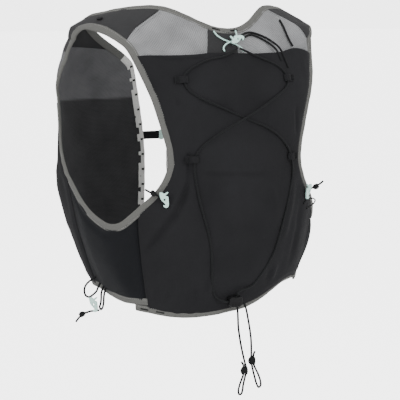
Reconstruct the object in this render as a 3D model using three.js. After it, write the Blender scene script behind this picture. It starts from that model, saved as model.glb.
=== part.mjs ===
// Running hydration vest: an open, sleeveless harness vest with a back pocket, front pockets,
// bound edges, bungee lacing and small plastic hooks. Millimetres, +Z up.
// The wearer faces -Y, the wearer's left is +X, and the origin is on top of the shoulders.

import * as THREE from 'three';
import { mergeVertices } from 'three/addons/utils/BufferGeometryUtils.js';

// Driving dimensions

const VEST_HEIGHT = 362;          // top of the shoulders to the lowest point of the back hem
const CHEST_HALF_WIDTH = 160;     // middle to side at the chest
const FRONT_DEPTH = 100;          // from the middle plane of the torso forward
const BACK_DEPTH = 107;           // from the middle plane of the torso backward
const TORSO_SET_FORWARD = 16;     // the torso's middle plane lies this far in front of the origin
const FRONT_SQUARENESS = 3.6;     // power of the rounded section, higher is squarer
const BACK_SQUARENESS = 2.3;
const SHOULDER_START = 0.304;     // share of the height below which the torso stops closing in

const PANEL_WALL = 1.8;
const POCKET_WALL = 1.4;
const PATCH_WALL = 1;
const SEAM_STEP = 1.5;            // the side hem binding ends this far before the seam
const BINDING_WALL = 3.2;
const BINDING_INNER = -0.7;       // how far the binding stands inside the panels' inner face
const BINDING_WIDTH = 9;
const CLEARANCE = 0.4;
const ARMHOLE_GAP = 1.7;          // between the binding's inner edge and the panels that it holds
const EDGE_GAP = 0.8;             // the same along the neckline, the front edges and the hems
const LAYER_GAP = 0.5;
const POCKET_SEAT = PANEL_WALL + LAYER_GAP;

const STRAP_WIDTH = 10;
const STRAP_WALL = 1.6;
const DAISY_WIDTH = 9;
const DAISY_WALL = 1.4;
const DAISY_LOOPS = 8;
const DAISY_RISE = 1.6;           // how far each sewn loop of the front strip stands off

const CORD_DIAMETER = 2;
const FINE_CORD_DIAMETER = 1.6;
const TRIM_CORD_DIAMETER = 1.8;
const HOOK_LENGTH = 18;
const HOOK_THICKNESS = 2.4;
const LOCK_WIDTH = 17;
const LOCK_HEIGHT = 13;
const LOCK_DEPTH = 9;
const TAIL_KNOT_WIDTH = 8.8;
const TAIL_KNOT_LENGTH = 10;
const HOOK_KNOT_WIDTH = 5.6;
const HOOK_KNOT_LENGTH = 8;
const HELD_SIDES = 6;
const FREE_SIDES = 8;
const KNOT_SIDES = 8;

const COLOURS = {
  mesh: 0x8f9092,
  ripstop: 0x2b2b2d,
  inner: 0x38383a,
  side: 0x242529,
  binding: 0x7b7b75,
  webbing: 0x1d1e1e,
  cord: 0x2c2e2e,
  mint: 0xc3ddd5,
  hard: 0x2a2b2b,
};

// The torso that the cloth lies on. Each row is one level section.
// drop: share of VEST_HEIGHT below the shoulders; side, front, back: shares of the chest sizes.

const SECTIONS = [
  { drop: 0.00, side: 1.34, front: 0.92, back: 0.93 },
  { drop: 0.055, side: 1.35, front: 0.95, back: 0.96 },
  { drop: 0.08, side: 1.355, front: 0.96, back: 0.98 },
  { drop: 0.116, side: 1.22, front: 0.98, back: 1.00 },
  { drop: 0.182, side: 1.11, front: 1.00, back: 1.00 },
  { drop: 0.304, side: 1.00, front: 1.00, back: 1.00 },
  { drop: 0.414, side: 0.987, front: 1.00, back: 1.00 },
  { drop: 0.552, side: 0.975, front: 1.00, back: 1.00 },
  { drop: 0.724, side: 0.894, front: 0.96, back: 1.00 },
  { drop: 0.829, side: 0.819, front: 0.88, back: 0.963 },
  { drop: 0.939, side: 0.731, front: 0.80, back: 0.907 },
  { drop: 1.028, side: 0.65, front: 0.74, back: 0.86 },
  { drop: 1.160, side: 0.56, front: 0.66, back: 0.785 },
];

const SHOULDER_CLOSE_HEIGHT = 0.336 * VEST_HEIGHT;
const SHOULDER_CLOSE_POWER = 1.415;
const SECTION_POWER = 2.3;
const SHOULDER_LIFT = -SHOULDER_START * VEST_HEIGHT;
const LIFT_ARM = 150;             // millimetres of lift for one radian of slope above the chest

// Edges of the cloth. turn: degrees around the torso from the wearer's left towards the back.
// lift: share of VEST_HEIGHT above the shoulders, negative below.

const LEFT_ARMHOLE = [
  { turn: 9.5, lift: -0.105 },
  { turn: 15.7, lift: -0.111 },
  { turn: 21.3, lift: -0.125 },
  { turn: 25.5, lift: -0.142 },
  { turn: 30.5, lift: -0.188 },
  { turn: 35.0, lift: -0.242 },
  { turn: 38.5, lift: -0.296 },
  { turn: 41.0, lift: -0.350 },
  { turn: 43.6, lift: -0.410 },
  { turn: 45.6, lift: -0.465 },
  { turn: 45.9, lift: -0.510 },
  { turn: 43.6, lift: -0.555 },
  { turn: 39.0, lift: -0.598 },
  { turn: 33.5, lift: -0.632 },
  { turn: 28.2, lift: -0.664 },
  { turn: 22.5, lift: -0.692 },
  { turn: 16.8, lift: -0.698 },
  { turn: 11.0, lift: -0.684 },
  { turn: 4.5, lift: -0.660 },
  { turn: -1.5, lift: -0.628 },
  { turn: -7.0, lift: -0.580 },
  { turn: -13.5, lift: -0.520 },
  { turn: -19.0, lift: -0.462 },
  { turn: -21.8, lift: -0.405 },
  { turn: -21.8, lift: -0.350 },
  { turn: -20.0, lift: -0.300 },
  { turn: -14.5, lift: -0.252 },
  { turn: -10.0, lift: -0.200 },
  { turn: -7.5, lift: -0.160 },
  { turn: -5.0, lift: -0.128 },
  { turn: -0.5, lift: -0.110 },
  { turn: 4.5, lift: -0.103 },
];

const HALF_NECKLINE = [
  { turn: 90, lift: 0.038 },
  { turn: 79, lift: 0.042 },
  { turn: 65, lift: 0.060 },
  { turn: 50, lift: 0.080 },
  { turn: 35, lift: 0.086 },
  { turn: 24, lift: 0.072 },
  { turn: 12, lift: 0.030 },
  { turn: 0, lift: -0.010 },
  { turn: -18, lift: -0.042 },
  { turn: -36, lift: -0.072 },
  { turn: -50, lift: -0.095 },
  { turn: -60, lift: -0.120 },
];

const LEFT_FRONT_EDGE = [
  { turn: -60, lift: -0.120 },
  { turn: -68.5, lift: -0.160 },
  { turn: -74, lift: -0.250 },
  { turn: -77.5, lift: -0.350 },
  { turn: -80, lift: -0.440 },
  { turn: -81.3, lift: -0.530 },
  { turn: -80.6, lift: -0.620 },
  { turn: -79, lift: -0.710 },
  { turn: -77.5, lift: -0.820 },
  { turn: -76, lift: -0.925 },
];

const BACK_HEM = [
  { turn: 16, lift: -0.980 },
  { turn: 22, lift: -0.984 },
  { turn: 31.3, lift: -0.990 },
  { turn: 44, lift: -1.000 },
  { turn: 56.5, lift: -1.003 },
  { turn: 74, lift: -0.997 },
  { turn: 84, lift: -0.990 },
  { turn: 96, lift: -0.982 },
  { turn: 108, lift: -0.962 },
  { turn: 118.5, lift: -0.935 },
  { turn: 128, lift: -0.912 },
  { turn: 138, lift: -0.906 },
  { turn: 148.7, lift: -0.908 },
  { turn: 156, lift: -0.910 },
];

const SIDE_HEM = [
  { turn: -76, lift: -0.925 },
  { turn: -55, lift: -0.928 },
  { turn: -30, lift: -0.930 },
  { turn: -10, lift: -0.932 },
  { turn: 3, lift: -0.948 },
  { turn: 14, lift: -0.957 },
  { turn: 30, lift: -0.957 },
  { turn: 38, lift: -0.957 },
];

const RIGHT_HEM_RAISE = 0.045;    // the hem hangs this much higher on the wearer's right
const BACK_HEM_START = 22;        // the back hem's binding passes under the end of the left one

const SIDE_SEAM_TURN = 31.3;
const WING_SEAM_TURN = -12;
const YOKE_SEAM = { topTurn: 32, topLift: 0.045, endTurn: 25.4, endLift: -0.112 };
const FRONT_SHOULDER_SEAM = { neckTurn: -50, neckLift: -0.115, armTurn: -10, armLift: -0.17 };

// Back pocket. half: degrees from the middle of the back to the pocket's side edge.

const POCKET_SIDES = [
  { lift: -0.110, half: 64 },
  { lift: -0.175, half: 56.5 },
  { lift: -0.240, half: 51.5 },
  { lift: -0.300, half: 47.8 },
  { lift: -0.365, half: 45 },
  { lift: -0.430, half: 42.5 },
  { lift: -0.505, half: 40.8 },
  { lift: -0.575, half: 44.2 },
  { lift: -0.640, half: 53 },
  { lift: -0.700, half: 58 },
  { lift: -1.010, half: 58 },
];

const POCKET_MOUTH = [
  { turn: 33.5, lift: -0.140 },
  { turn: 45, lift: -0.140 },
  { turn: 56, lift: -0.126 },
  { turn: 70, lift: -0.106 },
  { turn: 80, lift: -0.101 },
  { turn: 92, lift: -0.101 },
  { turn: 109, lift: -0.110 },
  { turn: 124, lift: -0.120 },
  { turn: 136, lift: -0.121 },
  { turn: 146.5, lift: -0.124 },
];

// How far the back pocket stands off the panel down its middle, in millimetres.

const POCKET_SWELL = [
  { lift: -0.09, swell: 3.0 },
  { lift: -0.18, swell: 4.5 },
  { lift: -0.30, swell: 7.0 },
  { lift: -0.45, swell: 9.0 },
  { lift: -0.65, swell: 9.5 },
  { lift: -0.80, swell: 7.5 },
  { lift: -0.90, swell: 4.0 },
  { lift: -0.965, swell: 1.0 },
  { lift: -1.02, swell: 0.0 },
];

// Long folds of the back pocket, from one point to another on the cloth.
// width: share of VEST_HEIGHT, rise: millimetres, negative for a valley.

const POCKET_FOLDS = [
  { turnA: 56, liftA: -0.45, turnB: 53, liftB: -0.62, width: 0.030, rise: -1.6 },
  { turnA: 53, liftA: -0.62, turnB: 35, liftB: -0.79, width: 0.034, rise: -2.0 },
  { turnA: 63, liftA: -0.535, turnB: 103, liftB: -0.544, width: 0.024, rise: -1.0 },
  { turnA: 47, liftA: -0.70, turnB: 36, liftB: -0.86, width: 0.036, rise: 1.8 },
  { turnA: 128, liftA: -0.60, turnB: 122, liftB: -0.80, width: 0.036, rise: -1.6 },
];

const FRONT_MOUTH_MEDIAL = { turn: -70, lift: -0.318 };
const FRONT_MOUTH_SIDE = { turn: -28, lift: -0.322 };
const FRONT_POCKET_SWELL = 11;
const SIDE_SWELL = 5;

// Sternum strap

const STRAP_LIFT = -0.452;
const STRAP_OFF = 3.0;
const STRAP_REACH = 25.5;
const BUCKLE_LEFT = -6.8;
const BUCKLE_RIGHT = -14;
const BUCKLE_HEIGHT = 12.5;
const BUCKLE_THICKNESS = 3.4;

// Outline of the small plastic hook, as shares of HOOK_LENGTH

const HOOK_OUTLINE = [
  { across: -0.33, along: 0.50 },
  { across: -0.23, along: 0.07 },
  { across: -0.09, along: -0.09 },
  { across: 0.07, along: -0.23 },
  { across: 0.08, along: -0.34 },
  { across: -0.05, along: -0.31 },
  { across: -0.04, along: -0.41 },
  { across: 0.11, along: -0.50 },
  { across: 0.24, along: -0.46 },
  { across: 0.31, along: -0.30 },
  { across: 0.29, along: -0.03 },
  { across: 0.26, along: 0.26 },
  { across: 0.04, along: 0.27 },
  { across: 0.28, along: 0.47 },
  { across: 0.23, along: 0.55 },
  { across: -0.01, along: 0.39 },
  { across: -0.09, along: 0.50 },
];
const HOOK_HOLE = { across: 0.02, along: 0.03, radius: 1.1 };

// Cord routes. turn and lift place a point on the cloth, over lifts it off the pocket.

const LACE_GAP = 0.5;
const LACE_ONE = [
  { turn: 89.7, lift: -0.078 },
  { turn: 83.6, lift: -0.102 },
  { turn: 77.6, lift: -0.120 },
  { turn: 67.6, lift: -0.139 },
  { turn: 59.0, lift: -0.171 },
  { turn: 54.1, lift: -0.202 },
  { turn: 52.7, lift: -0.220 },
  { turn: 53.2, lift: -0.240 },
  { turn: 55.4, lift: -0.268 },
  { turn: 61.0, lift: -0.295 },
  { turn: 69.6, lift: -0.317 },
  { turn: 88.0, lift: -0.361 },
  { turn: 103.5, lift: -0.393 },
  { turn: 111.0, lift: -0.417 },
  { turn: 116.0, lift: -0.441 },
  { turn: 120.1, lift: -0.468 },
  { turn: 122.3, lift: -0.494 },
  { turn: 123.5, lift: -0.540 },
  { turn: 120.2, lift: -0.617 },
  { turn: 116.6, lift: -0.684 },
  { turn: 111.0, lift: -0.796 },
  { turn: 104.0, lift: -0.864 },
  { turn: 98.0, lift: -0.902 },
];
const LACE_TWO = [
  { turn: 92.2, lift: -0.080 },
  { turn: 102.0, lift: -0.115 },
  { turn: 116.0, lift: -0.169 },
  { turn: 119.6, lift: -0.193 },
  { turn: 121.3, lift: -0.218 },
  { turn: 121.7, lift: -0.240 },
  { turn: 118.6, lift: -0.268 },
  { turn: 113.5, lift: -0.289 },
  { turn: 107.3, lift: -0.308, over: 0.6 },
  { turn: 97.5, lift: -0.336, over: 2.4 },
  { turn: 88.0, lift: -0.361, over: 3.0 },
  { turn: 78.0, lift: -0.387, over: 2.4 },
  { turn: 68.7, lift: -0.419, over: 0.4 },
  { turn: 62.9, lift: -0.445 },
  { turn: 59.8, lift: -0.467 },
  { turn: 58.6, lift: -0.489 },
  { turn: 58.3, lift: -0.520 },
  { turn: 60.7, lift: -0.616 },
  { turn: 66.5, lift: -0.740 },
  { turn: 68.0, lift: -0.808 },
  { turn: 69.2, lift: -0.884 },
  { turn: 72.0, lift: -0.930 },
];
const LACE_LOOPS = [
  { name: 'lace_loop_upper_left', turn: 53.0, lift: -0.230, outerSide: -1 },
  { name: 'lace_loop_upper_right', turn: 121.6, lift: -0.229, outerSide: 1 },
  { name: 'lace_loop_middle_left', turn: 58.5, lift: -0.489, outerSide: -1 },
  { name: 'lace_loop_middle_right', turn: 122.2, lift: -0.492, outerSide: 1 },
];
const LOOP_WIDTH = 8;
const LOOP_WALL = 1;
const LOOP_SEAT = 1.0;

// Section of a sewn loop. across: millimetres from the cord towards the pocket's side,
// height: share of the cord's own height above the pocket.

const LOOP_ARCH = [
  { across: 11, height: 0 },
  { across: 5.2, height: 0 },
  { across: 3.0, height: 0.7 },
  { across: 1.7, height: 1.1 },
  { across: -1.7, height: 1.1 },
  { across: -3.0, height: 0.7 },
  { across: -4.6, height: 0 },
];

const LOCK_SEAT = { turn: 84.5, lift: -0.945 };
const LOCK_STAND = 2.2;

// Free tails. across and down: millimetres from the first tail's start.

const TAIL_START = { across: 4.2, out: 0 };
const TAIL_KNOT_BORE = 6.4;
const TAIL_LEFT = [
  { across: 0, down: 0 },
  { across: 0.3, down: 6 },
  { across: 0.7, down: 14 },
  { across: 1.2, down: 24 },
  { across: 2.6, down: 34 },
  { across: 4.4, down: 44 },
  { across: 7.2, down: 56 },
  { across: 10.4, down: 68 },
  { across: 12.0, down: 73 },
  { across: 11.4, down: 81 },
  { across: 9.4, down: 88 },
  { across: 7.9, down: 94 },
  { across: 7.2, down: 99 },
  { across: 5.2, down: 104 },
  { across: 2.4, down: 104 },
  { across: 1.5, down: 99.5 },
  { across: 3.2, down: 93 },
  { across: 6.2, down: 86 },
  { across: 8.6, down: 80 },
  { across: 9.2, down: 73 },
  { across: 7.4, down: 68.5 },
  { across: 5.6, down: 66 },
];
const TAIL_LEFT_KNOT = { across: 10.3, down: 76.5, lean: -0.08 };
const TAIL_RIGHT = [
  { across: 4.8, down: -5 },
  { across: 7.6, down: -4 },
  { across: 10.4, down: 0 },
  { across: 12.8, down: 8 },
  { across: 14.8, down: 17.5 },
  { across: 17.0, down: 29 },
  { across: 18.6, down: 41 },
  { across: 19.0, down: 52 },
  { across: 19.0, down: 61 },
  { across: 19.6, down: 70 },
  { across: 21.2, down: 77 },
  { across: 23.5, down: 85 },
  { across: 26.4, down: 94 },
  { across: 29.3, down: 98.5 },
  { across: 32.0, down: 96.5 },
  { across: 31.6, down: 91 },
  { across: 28.2, down: 82 },
  { across: 24.4, down: 75 },
  { across: 22.4, down: 70 },
  { across: 21.8, down: 61 },
  { across: 22.6, down: 57.5 },
  { across: 24.0, down: 55 },
];
const TAIL_RIGHT_KNOT = { across: 20.7, down: 65.5, lean: 0.06 };

// Top hook

const TOP_HOOK = { turn: 91.8, lift: -0.040, off: 9.6, turned: Math.PI / 2 };
const TOP_CORD_LONG = [
  { turn: 74.0, lift: 0.006, off: 4.8 },
  { turn: 76.5, lift: -0.016, off: 4.8 },
  { turn: 80.5, lift: -0.030, off: 4.8 },
  { turn: 86.0, lift: -0.042, off: 4.8 },
  { turn: 91.0, lift: -0.054, off: 4.8 },
  { turn: 94.5, lift: -0.072, off: 5.2 },
  { turn: 95.0, lift: -0.092, off: 6.6 },
];
const TOP_CORD_SHORT = [
  { turn: 95.0, lift: 0.014, off: 4.8 },
  { turn: 94.0, lift: -0.010, off: 5.4 },
  { turn: 91.0, lift: -0.030, off: 6.9 },
  { turn: 86.5, lift: -0.044, off: 7.1 },
  { turn: 82.0, lift: -0.056, off: 5.8 },
  { turn: 79.6, lift: -0.074, off: 5.2 },
  { turn: 79.6, lift: -0.092, off: 6.2 },
];
const YOKE_CORD_UPPER = [
  { turn: 97.5, lift: -0.014, off: 4.2 },
  { turn: 102.0, lift: -0.004, off: 3.4 },
  { turn: 108.8, lift: -0.001, off: 3.4 },
  { turn: 117.0, lift: -0.027, off: 3.4 },
  { turn: 122.5, lift: -0.064, off: 4.4 },
  { turn: 124.6, lift: -0.104, off: 7.6 },
  { turn: 124.8, lift: -0.130, off: 8.0 },
  { turn: 124.8, lift: -0.162, off: 8.2 },
  { turn: 125.2, lift: -0.190, off: 8.2 },
];
const YOKE_CORD_LOWER = [
  { turn: 98.5, lift: -0.028, off: 4.2 },
  { turn: 103.0, lift: -0.018, off: 3.4 },
  { turn: 108.6, lift: -0.014, off: 3.4 },
  { turn: 115.2, lift: -0.038, off: 3.4 },
  { turn: 119.6, lift: -0.072, off: 4.8 },
  { turn: 121.2, lift: -0.106, off: 7.8 },
  { turn: 121.6, lift: -0.132, off: 8.2 },
  { turn: 121.8, lift: -0.156, off: 8.4 },
];

// Cord on the right shoulder and small sewn tab on the left one

const SHOULDER_CORD = [
  { turn: 144.0, lift: -0.004, off: 3.4 },
  { turn: 140.6, lift: -0.034, off: 3.4 },
  { turn: 138.5, lift: -0.062, off: 3.4 },
  { turn: 137.4, lift: -0.088, off: 3.6 },
  { turn: 137.2, lift: -0.112, off: 4.0 },
];
const SHOULDER_TAB = { turn: 6.5, lift: -0.062, off: 3.2, width: 8, height: 5, wall: 1.8 };

// Side hooks and their cords

const SIDE_HOOK = { turn: 43.9, lift: -0.613, off: 10.6 };
const SIDE_KNOT_INDEX = 3;
const HOOK_KNOT_BORE = 3.2;
const SIDE_CORD_LEFT = [
  { turn: 45.6, lift: -0.622, off: 6.2 },
  { turn: 43.4, lift: -0.609, off: 6.2 },
  { turn: 41.2, lift: -0.600, off: 6.4 },
  { turn: 39.3, lift: -0.594, off: 6.6 },
  { turn: 37.4, lift: -0.587, off: 6.8 },
  { turn: 35.8, lift: -0.580, off: 6.8 },
];
const SIDE_CORD_RIGHT = [
  { turn: 134.6, lift: -0.620, off: 6.2 },
  { turn: 137.0, lift: -0.611, off: 6.4 },
  { turn: 139.6, lift: -0.605, off: 8.0 },
  { turn: 142.2, lift: -0.598, off: 11.0 },
  { turn: 144.4, lift: -0.590, off: 13.6 },
  { turn: 146.0, lift: -0.582, off: 15.4 },
];
const SIDE_LOOP_RIGHT = [
  { turn: 133.1, lift: -0.652, off: 5.4 },
  { turn: 135.2, lift: -0.644, off: 6.2 },
  { turn: 137.4, lift: -0.638, off: 7.8 },
  { turn: 140.2, lift: -0.637, off: 10.6 },
  { turn: 142.0, lift: -0.644, off: 12.0 },
  { turn: 141.4, lift: -0.655, off: 11.0 },
  { turn: 139.0, lift: -0.664, off: 8.6 },
  { turn: 136.4, lift: -0.669, off: 6.2 },
];

// Hem hook. side: share of CHEST_HALF_WIDTH, back: share of BACK_DEPTH, lift as above.

const HEM_HOOK = { side: 0.815, back: -0.300, lift: -0.984, facing: 42, turned: 0 };
const HEM_LOOP = [
  { side: 0.785, back: -0.326, lift: -0.894 },
  { side: 0.822, back: -0.372, lift: -0.908 },
  { side: 0.845, back: -0.404, lift: -0.924 },
  { side: 0.849, back: -0.421, lift: -0.942 },
  { side: 0.843, back: -0.406, lift: -0.956 },
  { side: 0.830, back: -0.362, lift: -0.960 },
  { side: 0.809, back: -0.336, lift: -0.953 },
  { side: 0.790, back: -0.298, lift: -0.940 },
  { side: 0.794, back: -0.244, lift: -0.924 },
  { side: 0.780, back: -0.232, lift: -0.910 },
];
const HEM_STRANDS = [
  { side: 0.767, back: -0.190, lift: -0.920 },
  { side: 0.785, back: -0.190, lift: -0.940 },
  { side: 0.787, back: -0.192, lift: -0.962 },
  { side: 0.789, back: -0.202, lift: -0.978 },
  { side: 0.792, back: -0.216, lift: -0.988 },
  { side: 0.788, back: -0.196, lift: -0.996 },
  { side: 0.784, back: -0.166, lift: -0.988 },
  { side: 0.782, back: -0.148, lift: -0.972 },
  { side: 0.780, back: -0.144, lift: -0.950 },
  { side: 0.767, back: -0.144, lift: -0.924 },
];
const HEM_KNOT_INDEX = 4;
const HEM_TAIL = [
  { side: 0.777, back: -0.274, lift: -1.002 },
  { side: 0.797, back: -0.312, lift: -1.005 },
  { side: 0.815, back: -0.368, lift: -1.008 },
  { side: 0.838, back: -0.414, lift: -1.014 },
  { side: 0.854, back: -0.462, lift: -1.022 },
  { side: 0.868, back: -0.505, lift: -1.034 },
  { side: 0.880, back: -0.542, lift: -1.048 },
];

// Small helpers

const lerp = (a, b, t) => a + (b - a) * t;
const clamp = (x, lo, hi) => Math.min(hi, Math.max(lo, x));
const smooth = (t) => t * t * (3 - 2 * t);

function tableValue(rows, key, column, x) {
  const sorted = [...rows].sort((a, b) => a[key] - b[key]);
  if (x <= sorted[0][key]) return sorted[0][column];
  for (let i = 1; i < sorted.length; i += 1) {
    if (x <= sorted[i][key]) {
      const t = (x - sorted[i - 1][key]) / (sorted[i][key] - sorted[i - 1][key]);
      return lerp(sorted[i - 1][column], sorted[i][column], t);
    }
  }
  return sorted[sorted.length - 1][column];
}

const SORTED_SECTIONS = [...SECTIONS].sort((a, b) => a.drop - b.drop);

function sectionAt(z) {
  const drop = clamp(-z / VEST_HEIGHT, 0, SORTED_SECTIONS[SORTED_SECTIONS.length - 1].drop);
  let i = 1;
  while (i < SORTED_SECTIONS.length - 1 && SORTED_SECTIONS[i].drop < drop) i += 1;
  const low = SORTED_SECTIONS[i - 1];
  const high = SORTED_SECTIONS[i];
  const t = (drop - low.drop) / (high.drop - low.drop);
  return {
    side: lerp(low.side, high.side, t) * CHEST_HALF_WIDTH,
    front: lerp(low.front, high.front, t) * FRONT_DEPTH,
    back: lerp(low.back, high.back, t) * BACK_DEPTH,
  };
}

// Torso surface: the value is 1 on the surface and less inside.

function torso(x, y, z) {
  const section = sectionAt(z);
  const depth = y + TORSO_SET_FORWARD;
  const power = depth > 0 ? BACK_SQUARENESS : FRONT_SQUARENESS;
  const half = depth > 0 ? section.back : section.front;
  const sum = Math.abs(x / section.side) ** power + Math.abs(depth / half) ** power;
  const closing = Math.max(z - SHOULDER_LIFT, 0) / SHOULDER_CLOSE_HEIGHT;
  return sum ** (SECTION_POWER / power) + closing ** SHOULDER_CLOSE_POWER;
}

function pointOn(turn, lift) {
  const around = THREE.MathUtils.degToRad(turn);
  const height = lift * VEST_HEIGHT;
  const slope = Math.max(0, (height - SHOULDER_LIFT) / LIFT_ARM);
  const start = new THREE.Vector3(0, -TORSO_SET_FORWARD, Math.min(height, SHOULDER_LIFT));
  const way = new THREE.Vector3(
    Math.cos(around) * Math.cos(slope),
    Math.sin(around) * Math.cos(slope),
    Math.sin(slope),
  );
  let near = 0;
  let far = 3 * CHEST_HALF_WIDTH;
  for (let i = 0; i < 40; i += 1) {
    const middle = (near + far) / 2;
    const p = start.clone().addScaledVector(way, middle);
    if (torso(p.x, p.y, p.z) < 1) near = middle;
    else far = middle;
  }
  return start.addScaledVector(way, near);
}

function outward(p) {
  const h = 0.5;
  return new THREE.Vector3(
    torso(p.x + h, p.y, p.z) - torso(p.x - h, p.y, p.z),
    torso(p.x, p.y + h, p.z) - torso(p.x, p.y - h, p.z),
    torso(p.x, p.y, p.z + h) - torso(p.x, p.y, p.z - h),
  ).normalize();
}

// Place of a point on the cloth chart.

function chartOf(p) {
  const depth = p.y + TORSO_SET_FORWARD;
  const turn = THREE.MathUtils.radToDeg(Math.atan2(depth, p.x));
  const above = Math.atan2(p.z - SHOULDER_LIFT, Math.hypot(p.x, depth));
  const height = p.z <= SHOULDER_LIFT ? p.z : SHOULDER_LIFT + LIFT_ARM * above;
  return { turn: turn < -90 ? turn + 360 : turn, lift: height / VEST_HEIGHT };
}

function offPoint(turn, lift, off) {
  const p = pointOn(turn, lift);
  return p.addScaledVector(outward(p), off);
}

const mirrored = (rows) => rows.map((row) => ({ ...row, turn: 180 - row.turn }));

// Smooth chart curve through the rows, cut into points of equal spacing on the torso.

function trace(rows, count, closed = false) {
  const knots = rows.map((row) => new THREE.Vector3(row.turn / 100, row.lift, 0));
  const curve = new THREE.CatmullRomCurve3(knots, closed, 'centripetal');
  const fine = 6 * rows.length;
  const places = [];
  for (let i = 0; i <= fine; i += 1) {
    const k = curve.getPoint(i / fine);
    places.push({ turn: k.x * 100, lift: k.y });
  }
  return evenSteps(places, count);
}

function evenSteps(places, count) {
  const points = places.map((q) => pointOn(q.turn, q.lift));
  const length = [0];
  for (let i = 1; i < points.length; i += 1) {
    length.push(length[i - 1] + points[i].distanceTo(points[i - 1]));
  }
  const total = length[length.length - 1];
  const result = [];
  let j = 1;
  for (let i = 0; i <= count; i += 1) {
    const wanted = (total * i) / count;
    while (j < points.length - 1 && length[j] < wanted) j += 1;
    const t = clamp((wanted - length[j - 1]) / (length[j] - length[j - 1] || 1), 0, 1);
    result.push({
      turn: lerp(places[j - 1].turn, places[j].turn, t),
      lift: lerp(places[j - 1].lift, places[j].lift, t),
    });
  }
  return result;
}

// Moves a chart curve sideways on the torso, to the left of its run seen from outside.

function inset(places, distance, closed = false) {
  const points = places.map((q) => pointOn(q.turn, q.lift));
  const last = points.length - 1;
  return points.map((p, i) => {
    const before = i > 0 ? points[i - 1] : closed ? points[last - 1] : p;
    const after = i < last ? points[i + 1] : closed ? points[1] : p;
    const run = after.clone().sub(before).normalize();
    const side = outward(p).cross(run).normalize();
    return chartOf(p.clone().addScaledVector(side, distance));
  });
}

// Runs of places along an edge

function lengthsOf(places) {
  const points = places.map((q) => pointOn(q.turn, q.lift));
  const lengths = [0];
  points.slice(1).forEach((p, i) => lengths.push(lengths[i] + p.distanceTo(points[i])));
  return { points, lengths };
}

function lengthNear(run, turn, lift, after = -1) {
  const target = pointOn(turn, lift);
  let best = Infinity;
  let found = 0;
  for (let i = 0; i < run.points.length - 1; i += 1) {
    if (run.lengths[i + 1] <= after) continue;
    const span = run.points[i + 1].clone().sub(run.points[i]);
    const t = clamp(target.clone().sub(run.points[i]).dot(span) / span.lengthSq(), 0, 1);
    const d = run.points[i].clone().addScaledVector(span, t).distanceTo(target);
    if (d < best - 1e-6) {
      best = d;
      found = lerp(run.lengths[i], run.lengths[i + 1], t);
    }
  }
  return found;
}

function placeAt(places, run, length) {
  let i = 1;
  while (i < places.length - 1 && run.lengths[i] < length) i += 1;
  const t = (length - run.lengths[i - 1]) / (run.lengths[i] - run.lengths[i - 1]);
  return {
    turn: lerp(places[i - 1].turn, places[i].turn, t),
    lift: lerp(places[i - 1].lift, places[i].lift, t),
  };
}

// Part of a run between the places nearest to a and b, shortened at both ends.

function between(places, a, b, count, trimA = CLEARANCE / 2, trimB = CLEARANCE / 2) {
  const run = lengthsOf(places);
  const from = lengthNear(run, a.turn, a.lift) + trimA;
  const to = lengthNear(run, b.turn, b.lift, from) - trimB;
  const result = [];
  for (let i = 0; i <= count; i += 1) result.push(placeAt(places, run, lerp(from, to, i / count)));
  return result;
}

function straight(a, b, count = 8) {
  const places = [];
  for (let i = 0; i <= count; i += 1) {
    places.push({ turn: lerp(a.turn, b.turn, i / count), lift: lerp(a.lift, b.lift, i / count) });
  }
  return places;
}

const first = (places) => places[0];
const final = (places) => places[places.length - 1];
const backwards = (places) => [...places].reverse();
const asIs = (places) => places;

// Closed solid from two grids of points, the outer and the inner face of a wall.

function wall(rows, columns, outer, inner, ring = false) {
  const positions = [];
  const index = [];
  const stride = columns + 1;
  const layer = (rows + 1) * stride;
  for (const face of [outer, inner]) {
    for (let i = 0; i <= rows; i += 1) {
      for (let j = 0; j <= columns; j += 1) {
        const p = face(i / rows, j / columns);
        positions.push(p.x, p.y, p.z);
      }
    }
  }
  const quad = (a, b, c, d) => index.push(a, b, c, a, c, d);
  for (let i = 0; i < rows; i += 1) {
    for (let j = 0; j < columns; j += 1) {
      const a = i * stride + j;
      quad(a, a + 1, a + stride + 1, a + stride);
      quad(layer + a, layer + a + stride, layer + a + stride + 1, layer + a + 1);
    }
  }
  for (let i = 0; i < rows; i += 1) {
    const a = i * stride;
    const b = a + columns;
    quad(a, a + stride, layer + a + stride, layer + a);
    quad(b, layer + b, layer + b + stride, b + stride);
  }
  if (!ring) {
    for (let j = 0; j < columns; j += 1) {
      const a = j;
      const b = rows * stride + j;
      quad(a, layer + a, layer + a + 1, a + 1);
      quad(b, b + 1, layer + b + 1, layer + b);
    }
  }
  return closedSolid(positions, index);
}

function closedSolid(positions, index) {
  let geometry = new THREE.BufferGeometry();
  geometry.setAttribute('position', new THREE.Float32BufferAttribute(positions, 3));
  geometry.setIndex(index);
  geometry = mergeVertices(geometry, 1e-3);
  if (signedVolume(geometry) < 0) {
    const order = geometry.index.array;
    for (let i = 0; i < order.length; i += 3) {
      [order[i], order[i + 1]] = [order[i + 1], order[i]];
    }
  }
  return geometry;
}

function signedVolume(geometry) {
  const position = geometry.attributes.position;
  const order = geometry.index.array;
  const a = new THREE.Vector3();
  const b = new THREE.Vector3();
  const c = new THREE.Vector3();
  let volume = 0;
  for (let i = 0; i < order.length; i += 3) {
    a.fromBufferAttribute(position, order[i]);
    b.fromBufferAttribute(position, order[i + 1]);
    c.fromBufferAttribute(position, order[i + 2]);
    volume += a.dot(b.cross(c));
  }
  return volume / 6;
}

// Cloth patch between four edges: the chart places of its inside follow all four.

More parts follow.
